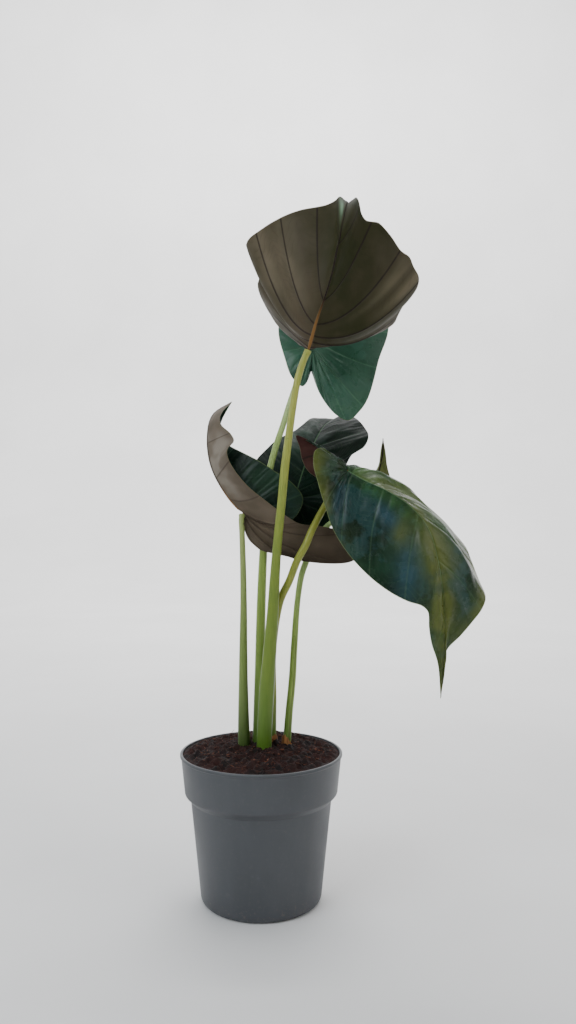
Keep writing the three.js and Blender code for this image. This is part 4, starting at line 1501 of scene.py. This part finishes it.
STALKS = {
    "a": StalkShape(
        path=[(4, 4, 178), (4, 0, 221), (8, -6, 302), (16, -16, 405), (22, -28, 496), (30, -38, 577),
              (34, -42, 619), (41, -44, 675), (46, -44, 710), (52, -44, 745), (60, -44, 771),
              (67, -45, 787)],
        radius=(10.5, 11, 11, 8.5, 6.5, 6, 6, 5.2, 5, 5, 4.6, 4.2),
        sheath=0.52, turn=4.6,
    ),
    "b": StalkShape(
        path=[(-6, 22, 178), (-6, 24, 215), (-4, 25, 296), (-1, 26, 429), (2, 26, 502), (9, 32, 609),
              (19, 48, 654), (31, 75, 694), (42, 108, 734), (52, 136, 767), (63, 150, 798),
              (73, 148, 818), (78, 132, 827)],
        radius=(8, 8, 7.5, 6.5, 5.8, 5, 4.8, 4.6, 4.4, 4.2, 4, 4, 4),
        turn=5.2, skin=STALK_SHADED,
    ),
    "c": StalkShape(
        path=[(3, 43, 178), (2, 48, 213), (6, 46, 292), (13, 46, 390), (21, 56, 464), (25, 68, 509),
              (36, 74, 548), (48, 62, 575), (50, 50, 581)],
        radius=(6, 6.5, 5.5, 5, 4.6, 4.4, 4.2, 4, 4),
        skin=STALK_SHADED,
    ),
    "d": StalkShape(
        path=[(13, 24, 178), (13, 26, 214), (14, 22, 282), (15, 10, 358), (26, -3, 428), (41, -14, 462),
              (52, -22, 491), (64, -24, 513), (73, -20, 534), (87, -9, 560), (104, 0, 588),
              (118, 0, 608), (124.1, -13.2, 618.6)],
        radius=(8, 8, 7.5, 6.5, 5.8, 5.4, 5.4, 5.4, 5.2, 5, 4.8, 4.4, 4),
        turn=5.0, skin=STALK_YELLOW,
    ),
    "e": StalkShape(
        path=[(-23, 13, 178), (-26, 15, 222), (-27, 10, 313), (-26, 2, 431), (-27, -3, 500),
              (-28, -4, 530), (-29, 0, 549), (-28.5, 4, 555)],
        radius=(8.5, 9, 6.5, 4.8, 4.2, 4, 4, 4),
        turn=4.4, skin=STALK_PALE,
    ),
    "g": StalkShape(
        path=[(33, 19, 178), (37, 20, 220), (40, 22, 260), (45, 25, 311), (48, 28, 362), (53, 35, 428),
              (59, 40, 465), (65, 42, 483), (76, 43, 510), (93, 43, 534), (109, 40, 548), (121, 41, 554),
              (126, 47, 556)],
        radius=(5.5, 6, 5.5, 5.4, 5, 4.4, 4.6, 4.8, 4.6, 4.2, 3.8, 3.4, 3.2),
        turn=3.6, skin=STALK_SHADED,
    ),
}


@dataclass
class Stalk:
    """One leaf stalk, round and finely ribbed, with the edge of its sheath as a seam up its side."""

    name: str
    shape: StalkShape
    rings: int = 180
    sides: int = 36
    ribs: int = 15
    rib_height: float = 0.1
    seam_depth: float = 0.7
    seam_width: float = 0.16
    seam_fade: float = 0.06
    seam_shade: float = 0.7
    lip_height: float = 0.35
    lip_place: float = 2.4
    flare: float = 0.2
    flare_share: float = 0.035
    pressed_reach: float = 16.0
    blade_reach: float = 24.0
    blade_gap: float = 0.1

    def build(self, blade: Sheet) -> bpy.types.Object:
        """Makes the stalk.

        Round the centre line each ring lies at radius * (1 + flare) + ribs * cos(count * turn) - seam *
        exp(-((turn - seam turn) / width)^2), with a low lip of the same form on both sides of the seam,
        and the top end is pressed flat under its blade.

        Args:
            blade: the sheet of the blade that it carries.

        Returns:
            The stalk.
        """
        shape = self.shape
        share, turn = np.linspace(0.0, 1.0, self.rings), around(self.sides)
        line = SmoothCurve(shape.path)
        ahead = line.ahead(share)
        across = unit(np.array([0.0, 1.0, 0.0]) - ahead * ahead[:, 1:2])
        other = np.cross(ahead, across)
        flare = 1 + self.flare * ease((share - 1 + self.flare_share) / self.flare_share)
        radius = np.interp(share, line.knots, shape.radius) * flare
        fade = ease((shape.sheath - share) / self.seam_fade)[:, None]
        off = np.abs((turn - shape.turn + np.pi) % (2 * np.pi) - np.pi) / self.seam_width
        seam = np.exp(-(off**2)) * fade
        lip = np.exp(-((off - self.lip_place) ** 2)) * fade
        reach = radius[:, None] + self.rib_height * np.cos(self.ribs * turn)
        reach = reach - self.seam_depth * seam + self.lip_height * lip
        ring = across[:, None] * np.cos(turn)[:, None] + other[:, None] * np.sin(turn)[:, None]
        points = (line.at(share)[:, None] + reach[:, :, None] * ring).reshape(-1, 3)
        at = np.zeros((self.rings, self.sides, 3))
        at[:, :, 0] = share[:, None]
        at[:, :, 1] = self.seam_shade * seam
        piece = mesh_piece(
            f"petiole_{self.name}",
            self.pressed(points, blade, line.points[-1]),
            tube_faces(self.rings, self.sides),
            [shape.skin.material()],
            point_data={"stalk_at": at.reshape(-1, 3)},
        )
        settle(piece, f"stalk_{self.name}")
        return piece

    def pressed(self, points: Array, blade: Sheet, top: Array) -> Array:
        """Presses the points near the top back to just under the blade.

        Args:
            points: the stalk's points.
            blade: the blade's sheet.
            top: the end of the centre line.

        Returns:
            The points, those that stood out above the blade moved down along its normal.
        """
        near = np.linalg.norm(points - top, axis=1) < self.pressed_reach
        sheet = np.linalg.norm(blade.points - top, axis=1) < self.blade_reach
        gaps = points[near][:, None] - blade.points[sheet][None, :]
        closest = np.argmin(np.linalg.norm(gaps, axis=2), axis=1)
        normal = blade.normals[sheet][closest]
        height = np.sum((points[near] - blade.points[sheet][closest]) * normal, axis=1)
        moved = points.copy()
        moved[near] = points[near] - normal * np.maximum(height + self.blade_gap, 0.0)[:, None]
        return moved


HUSK_TURNS = {"d": -0.9, "g": -2.2}


@dataclass
class Husk:
    """A dry torn sleeve round a stalk's foot."""

    name: str
    stalk: StalkShape
    turn: float
    foot: float = 206.0
    gap: float = 0.8
    wall: float = 0.7
    low: float = 9.5
    high: float = 25.5
    tears: tuple[float, float] = (1.2, 0.8)
    crease: float = 0.35
    flare: float = 0.5
    sides: int = 96
    rows: int = 24
    height_steps: int = 2001
    seed: int = 5

    def build(self) -> bpy.types.Object:
        """Makes the husk.

        It stands at the stalk's radius plus a gap, creased by sines of the turn and flared by the square
        of the way up, to the height low + (high - low) * (half of 1 + cos)^2, whose edge is torn by two
        more sines.

        Returns:
            The husk.
        """
        turn = around(self.sides)[None, :]
        up = np.linspace(0.0, 1.0, self.rows)[:, None]
        swing = (0.5 + 0.5 * np.cos(turn - self.turn)) ** 2
        broad, narrow = np.sin(11 * turn + self.seed), np.sin(23 * turn + 2 * self.seed)
        torn = self.tears[0] * broad + self.tears[1] * narrow
        height = self.foot + up * (self.low + (self.high - self.low) * swing + torn)
        line = SmoothCurve(self.stalk.path)
        fine = np.linspace(0.0, 1.0, self.height_steps)
        share = np.interp(height, line.at(fine)[:, 2], fine)
        centre = line.at(share)
        radius = np.interp(share, line.knots, self.stalk.radius)
        crease = self.crease * np.sin(9 * turn + 3 * up + self.seed) * up
        inside = radius + self.gap + crease + self.flare * up**2
        across = np.stack([np.cos(turn), np.sin(turn), np.zeros_like(turn)], axis=2)
        walls = []
        for reach in (inside + self.wall, inside):
            wall = centre + reach[:, :, None] * across
            wall[:, :, 2] = height
            walls.append(wall.reshape(-1, 3))
        count = self.rows * self.sides
        sleeve = grid_faces(self.rows, self.sides, ring=True)
        i = np.arange(self.sides)
        j = (i + 1) % self.sides
        end = count - self.sides
        joins = [strip_faces(i, j, count)[:, ::-1], strip_faces(end + i, end + j, count)]
        faces = np.concatenate([sleeve, sleeve[:, ::-1] + count, *joins])
        piece = mesh_piece(f"papery_{self.name}", np.concatenate(walls), faces, [HUSK_PAPER.material()])
        settle(piece, f"husk_{self.name}")
        return piece


@dataclass
class Pot:
    """The moulded nursery pot, with a deep band under a rolled rim and drain holes."""

    height: float = 212.5
    rim: float = 117.5
    band_foot: float = 156.0
    band_inside: float = 157.0
    band: float = 110.5
    body_top: float = 147.0
    body: float = 102.0
    base: float = 87.5
    heel: float = 7.0
    wall: float = 2.2
    floor: float = 3.0
    lip: float = 1.6
    lip_depth: float = 5.0
    recess: float = 0.6
    sides: int = 224
    drains: int = 6
    drain_sides: int = 32
    drain_radius: float = 5.0
    drain_circle: float = 62.0
    drain_heights: tuple[float, float] = (-5.0, 10.0)

    def profile(self) -> Array:
        """Works out the section of the wall, from under the base over the rim to the inner floor.

        Returns:
            The rounded section, from rows of radius, height and rounding.
        """
        rim, top, heel, wall = self.rim, self.height, self.heel, self.wall
        outer = [
            (0.0, self.recess, 0),
            (self.base - 3 * heel, self.recess, 0.6),
            (self.base - 2.6 * heel, 0.0, 0.5),
            (self.base - heel, 0.0, 2.0),
            (self.base - heel / 3, heel / 3, 2.0),
            (self.base, heel, 2.0),
            (self.body, self.body_top, 1.5),
            (self.band, self.band_foot, 1.8),
            (rim - self.lip, top - self.lip_depth, 0.7),
            (rim, top - self.lip_depth + 1.0, 0.9),
            (rim, top - 1.0, 0.8),
            (rim - 1.0, top, 0.6),
        ]
        inner = [
            (rim - self.lip - wall, top, 0.8),
            (self.band - wall, self.band_inside, 1.5),
            (self.body - wall, self.body_top, 1.2),
            (self.base - wall, self.floor + heel - wall / 2, 2.0),
            (self.base - heel, self.floor, 2.0),
            (0.0, self.floor, 0),
        ]
        return filleted(outer + inner)

    def build(self) -> bpy.types.Object:
        """Makes the pot: the section turned about the upright axis, less the drain holes.

        Returns:
            The pot.
        """
        section = self.subdivided(self.profile())[1:-1]
        rings = turned(section, self.sides)
        points, faces = closed_rings(rings, self.sides, section[0, 1], section[-1, 1])
        piece = mesh_piece("nursery_pot", points, faces, [POT_PLASTIC.material()])
        self.drill(piece)
        settle(piece, "pot")
        return piece

    @staticmethod
    def subdivided(section: Array, step: float = 5.0) -> Array:
        """Cuts the long straight stretches of a section into even steps.

        Args:
            section: radius and height of each of its points.
            step: the longest step.

        Returns:
            The section with the new points.
        """
        parts = []
        for a, b in zip(section, section[1:]):
            count = max(1, math.ceil(float(np.linalg.norm(b - a)) / step))
            parts.append(a + (b - a) * np.linspace(0.0, 1.0, count, endpoint=False)[:, None])
        return np.concatenate([*parts, section[-1:]])

    def drill(self, piece: bpy.types.Object) -> None:
        """Cuts the drain holes in a ring through the pot's floor.

        Args:
            piece: the pot.
        """
        drain = turned(np.array([(self.drain_radius, z) for z in self.drain_heights]), self.drain_sides)
        faces = tube_faces(2, self.drain_sides)
        points, joined = [], []
        for number in range(self.drains):
            angle = 2 * math.pi * (number + 0.5) / self.drains
            points.append(drain + self.drain_circle * np.array([math.cos(angle), math.sin(angle), 0.0]))
            joined.append(faces + len(drain) * number)
        cutter = mesh_piece("drain_cutter", np.concatenate(points), np.concatenate(joined), [])
        cut = piece.modifiers.new("drains", "BOOLEAN")
        cut.operation = "DIFFERENCE"
        cut.solver = "EXACT"
        cut.object = cutter
        shown = piece.evaluated_get(bpy.context.evaluated_depsgraph_get())
        drilled = bpy.data.meshes.new_from_object(shown)
        piece.modifiers.remove(cut)
        piece.data = drilled
        bpy.data.objects.remove(cutter)


@dataclass
class Soil:
    """The potting mix: a mound of crumbs with bark bits and fibres pressed into it."""

    pot: Pot = field(default_factory=Pot)
    edge: float = 210.0
    crown: float = 217.5
    clods: float = 2.4
    grains: tuple[tuple[float, float, int], ...] = ((3.4, 10.0, 0), (1.8, 5.0, 10), (0.9, 2.6, 20))
    sunk: float = 1.5
    calm_radius: float = 113.0
    calm_width: float = 10.0
    clearance: float = 0.3
    rings: int = 104
    spokes: int = 400
    bits: int = 420
    bits_radius: float = 102.0
    bits_lift: float = 0.1
    shade_most: float = 0.9
    shade_power: float = 1.6
    fibre_share: float = 0.22
    fibre_length: tuple[float, float] = (5, 11)
    fibre_width: tuple[float, float] = (0.25, 0.5)
    fibre_thickness: float = 0.3
    bark_length: tuple[float, float] = (1.2, 4.2)
    bark_width: tuple[float, float] = (0.8, 2.4)
    bark_thickness: tuple[float, float] = (0.4, 0.9)
    tilt: float = 0.25
    seed: int = 11

    def edge_radius(self) -> float:
        """Works out where the soil's top meets the pot.

        Returns:
            The soil's radius there.
        """
        pot = self.pot
        slope = (pot.rim - pot.lip - pot.band) / (pot.height - pot.band_inside)
        return pot.band - pot.wall - self.clearance + slope * (self.edge - pot.band_inside)

    def top(self, x: Array, y: Array) -> Array:
        """Works out the height of the soil's top.

        The mound falls off with the cube of the radius. On it lie three crossing waves and three sizes of
        round crumbs, all fading out near the wall.

        Args:
            x: places across.
            y: places along.

        Returns:
            The heights at the places.
        """
        away = np.hypot(x, y)
        mound = self.crown + (self.edge - self.crown) * (away / self.edge_radius()) ** 3
        waves = (
            np.sin(0.17 * x + 1) * np.sin(0.15 * y + 2)
            + 0.6 * np.sin(0.31 * x - 0.23 * y)
            + 0.5 * np.sin(0.36 * x + 0.27 * y + 1.7)
        )
        grains = sum(height * crumbs(x, y, size, self.seed + shift) for height, size, shift in self.grains)
        rough = self.clods * waves + grains - self.sunk
        return mound + rough * clamp((self.calm_radius - away) / self.calm_width)

    def build(self) -> bpy.types.Object:
        """Makes the soil: the side up the pot's wall, the top over a polar grid, a floor, and the bits.

        Returns:
            The soil.
        """
        pot, gap = self.pot, self.clearance
        side = [
            (pot.base - pot.heel, pot.floor + gap),
            (pot.base - pot.wall - gap, pot.floor + gap + pot.heel - pot.wall / 2),
            (pot.body - pot.wall - gap, pot.body_top),
            (pot.band - pot.wall - gap, pot.band_inside),
        ]
        reach = np.linspace(self.edge_radius(), 0.0, self.rings, endpoint=False)
        rings = turned(np.array([*side, *((radius, 0.0) for radius in reach)]), self.spokes)
        upper = rings[len(side) * self.spokes :]
        upper[:, 2] = self.top(upper[:, 0], upper[:, 1])
        crown = self.top(np.zeros(1), np.zeros(1))[0]
        points, faces = closed_rings(rings, self.spokes, pot.floor + gap, crown)
        bit_points, bit_faces, shades = self.strewn()
        at = np.zeros((len(points) + len(bit_points), 3))
        at[len(points) :, 0] = shades
        piece = mesh_piece(
            "potting_soil",
            np.concatenate([points, bit_points]),
            np.concatenate([faces, bit_faces + len(points)]),
            [POTTING_MIX.material()],
            point_data={"earth_at": at},
        )
        settle(piece, "soil")
        return piece

    def strewn(self) -> tuple[Array, Array, Array]:
        """Strews flat bark bits and thin fibres over the soil, half sunk in it.

        Each is a twelve-pointed ball, stretched to its own length, width and thickness, tilted a little
        and turned at random.

        Returns:
            Their points, triangles and shades.
        """
        random = np.random.default_rng(self.seed)
        golden = (1 + math.sqrt(5)) / 2
        signs = np.array([(a, b) for a in (-1, 1) for b in (-1, 1)], dtype=float)
        corners = np.column_stack([np.zeros(4), signs * (1, golden)])
        ball = unit(np.concatenate([np.roll(corners, k, axis=1) for k in range(3)]))
        bits = self.bits
        fibre = random.random(bits) < self.fibre_share
        longs = [random.uniform(*size, bits) for size in (self.fibre_length, self.bark_length)]
        wides = [random.uniform(*size, bits) for size in (self.fibre_width, self.bark_width)]
        length, width = np.where(fibre, *longs), np.where(fibre, *wides)
        thick = np.where(fibre, self.fibre_thickness, random.uniform(*self.bark_thickness, bits))
        away = self.bits_radius * np.sqrt(random.random(bits))
        angle = random.uniform(0, 2 * np.pi, bits)
        x, y = away * np.cos(angle), away * np.sin(angle)
        spin = random.uniform(0, 2 * np.pi, bits)
        tilt = random.normal(0, self.tilt, (bits, 2))
        long_way = unit(np.stack([np.cos(spin), np.sin(spin), tilt[:, 0]], 1))
        wide_way = unit(np.stack([-np.sin(spin), np.cos(spin), tilt[:, 1]], 1))
        up_way = np.cross(long_way, wide_way)
        stretches = zip(ball.T, (length, width, thick), (long_way, wide_way, up_way))
        points = sum(part[:, None] * (size[:, None] * way)[:, None] for part, size, way in stretches)
        points = points + np.stack([x, y, self.top(x, y) + self.bits_lift], 1)[:, None]
        steps = len(ball) * np.arange(bits)[:, None, None]
        shades = np.repeat(random.uniform(0.0, self.shade_most, bits) ** self.shade_power, len(ball))
        return points.reshape(-1, 3), (ball_faces(ball)[None] + steps).reshape(-1, 3), shades


def ball_faces(points: Array) -> Array:
    """Finds the triangles of a regular twelve-pointed ball, those whose three sides are all its edges.

    Args:
        points: the ball's points.

    Returns:
        The triangles, facing outwards.
    """
    gaps = np.linalg.norm(points[:, None] - points[None, :], axis=2)
    side = gaps[gaps > 0].min() * 1.01
    i, j, k = np.meshgrid(*(np.arange(len(points)),) * 3, indexing="ij")
    near = (gaps[i, j] < side) & (gaps[j, k] < side) & (gaps[k, i] < side) & (i < j) & (j < k)
    faces = np.stack([i[near], j[near], k[near]], 1)
    a, b, c = points[faces[:, 0]], points[faces[:, 1]], points[faces[:, 2]]
    inward = np.sum(np.cross(b - a, c - a) * a, axis=1) < 0
    faces[inward] = faces[inward][:, ::-1]
    return faces


@dataclass
class Studio:
    """The pale floor, the soft lights and the camera, in metres."""

    lens: float = 30.4
    camera: tuple[float, float, float] = (0.0387, -1.258, 0.560)
    floor_middle: float = 0.5
    floor_radius: float = 4.0
    sides: int = 96
    cove: float = 2.0
    cove_rings: int = 17
    wall_top: float = 5.0
    ambient: Colour = (0.90, 0.95, 1.0)
    ambient_strength: float = 0.4
    plant: tuple[float, float, float] = (0.08, 0.0, 0.55)

    def build(self) -> None:
        """Makes floor, world, lights and camera."""
        self.floor()
        world = bpy.data.worlds.new("studio")
        world.use_nodes = True
        sky = world.node_tree.nodes["Background"].inputs
        sky["Color"].default_value = (*self.ambient, 1.0)
        sky["Strength"].default_value = self.ambient_strength
        bpy.context.scene.world = world
        self.lamp("key", (-1.8, -1.7, 2.2), self.plant, 1.8, 50.0, (0.88, 0.95, 1.0))
        self.lamp("fill", (2.2, -1.0, 1.5), self.plant, 1.6, 13.0, (1.0, 0.98, 0.95))
        self.lamp("top", (0.3, 0.6, 3.2), self.plant, 2.2, 45.0, (1.0, 1.0, 1.0))
        self.lamp("wash", (0.0, 2.6, 4.4), (0.0, 6.0, 1.6), 3.0, 420.0, (1.0, 1.0, 1.0))
        data = bpy.data.cameras.new("camera")
        data.lens = self.lens
        camera = bpy.data.objects.new("camera", data)
        camera.location = self.camera
        camera.rotation_euler = (math.pi / 2, 0.0, 0.0)
        bpy.context.scene.collection.objects.link(camera)
        bpy.context.scene.camera = camera

    def floor(self) -> None:
        """Makes the floor, level out to its radius, then a quarter round up to a wall."""
        bend = np.linspace(0.0, np.pi / 2, self.cove_rings)
        reach, height = self.floor_radius + self.cove * np.sin(bend), self.cove * (1 - np.cos(bend))
        section = np.array([(self.floor_middle, 0.0), *zip(reach, height), (reach[-1], self.wall_top)])
        points = turned(section / MM, self.sides)
        sweep = grid_faces(len(section), self.sides, ring=True)[:, ::-1]
        faces = np.concatenate([sweep, cap_faces(0, self.sides)])
        mesh_piece("studio_floor", points, faces, [PALE_FLOOR.material()])

    @staticmethod
    def lamp(
        name: str,
        place: tuple[float, float, float],
        aim: tuple[float, float, float],
        size: float,
        watts: float,
        tint: Colour,
    ) -> None:
        """Hangs a square soft light.

        Args:
            name: the light's name.
            place: where it hangs, in metres.
            aim: what it looks at.
            size: its side.
            watts: its power.
            tint: its colour.
        """
        data = bpy.data.lights.new(name, "AREA")
        data.size = size
        data.energy = watts
        data.color = tint
        lamp = bpy.data.objects.new(name, data)
        lamp.location = place
        away = np.array(place) - np.array(aim)
        lean = math.acos(away[2] / float(np.linalg.norm(away)))
        lamp.rotation_euler = (lean, 0.0, math.atan2(away[1], away[0]) + math.pi / 2)
        bpy.context.scene.collection.objects.link(lamp)


def main() -> None:
    """Builds the pot, soil, stalks, blades and husks in order, and reports each piece."""
    logging.basicConfig(level=logging.INFO, format="%(message)s")
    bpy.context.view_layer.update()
    Studio().build()
    pieces = [Pot().build(), Soil().build()]
    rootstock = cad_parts["corm"]
    rootstock.data.materials.clear()
    rootstock.data.materials.append(ROOTSTOCK.material())
    for name, shape in LEAVES.items():
        blade = Blade(name, shape)
        sheet = blade.sheet()
        pieces.append(blade.build(sheet))
        pieces.append(Stalk(name, STALKS[name]).build(sheet))
    for name, turn in HUSK_TURNS.items():
        pieces.append(Husk(name, STALKS[name], turn).build())
    for piece in pieces:
        LOG.info("%s: %d triangles", piece.name, len(piece.data.polygons))


if __name__ == "__main__":
    main()
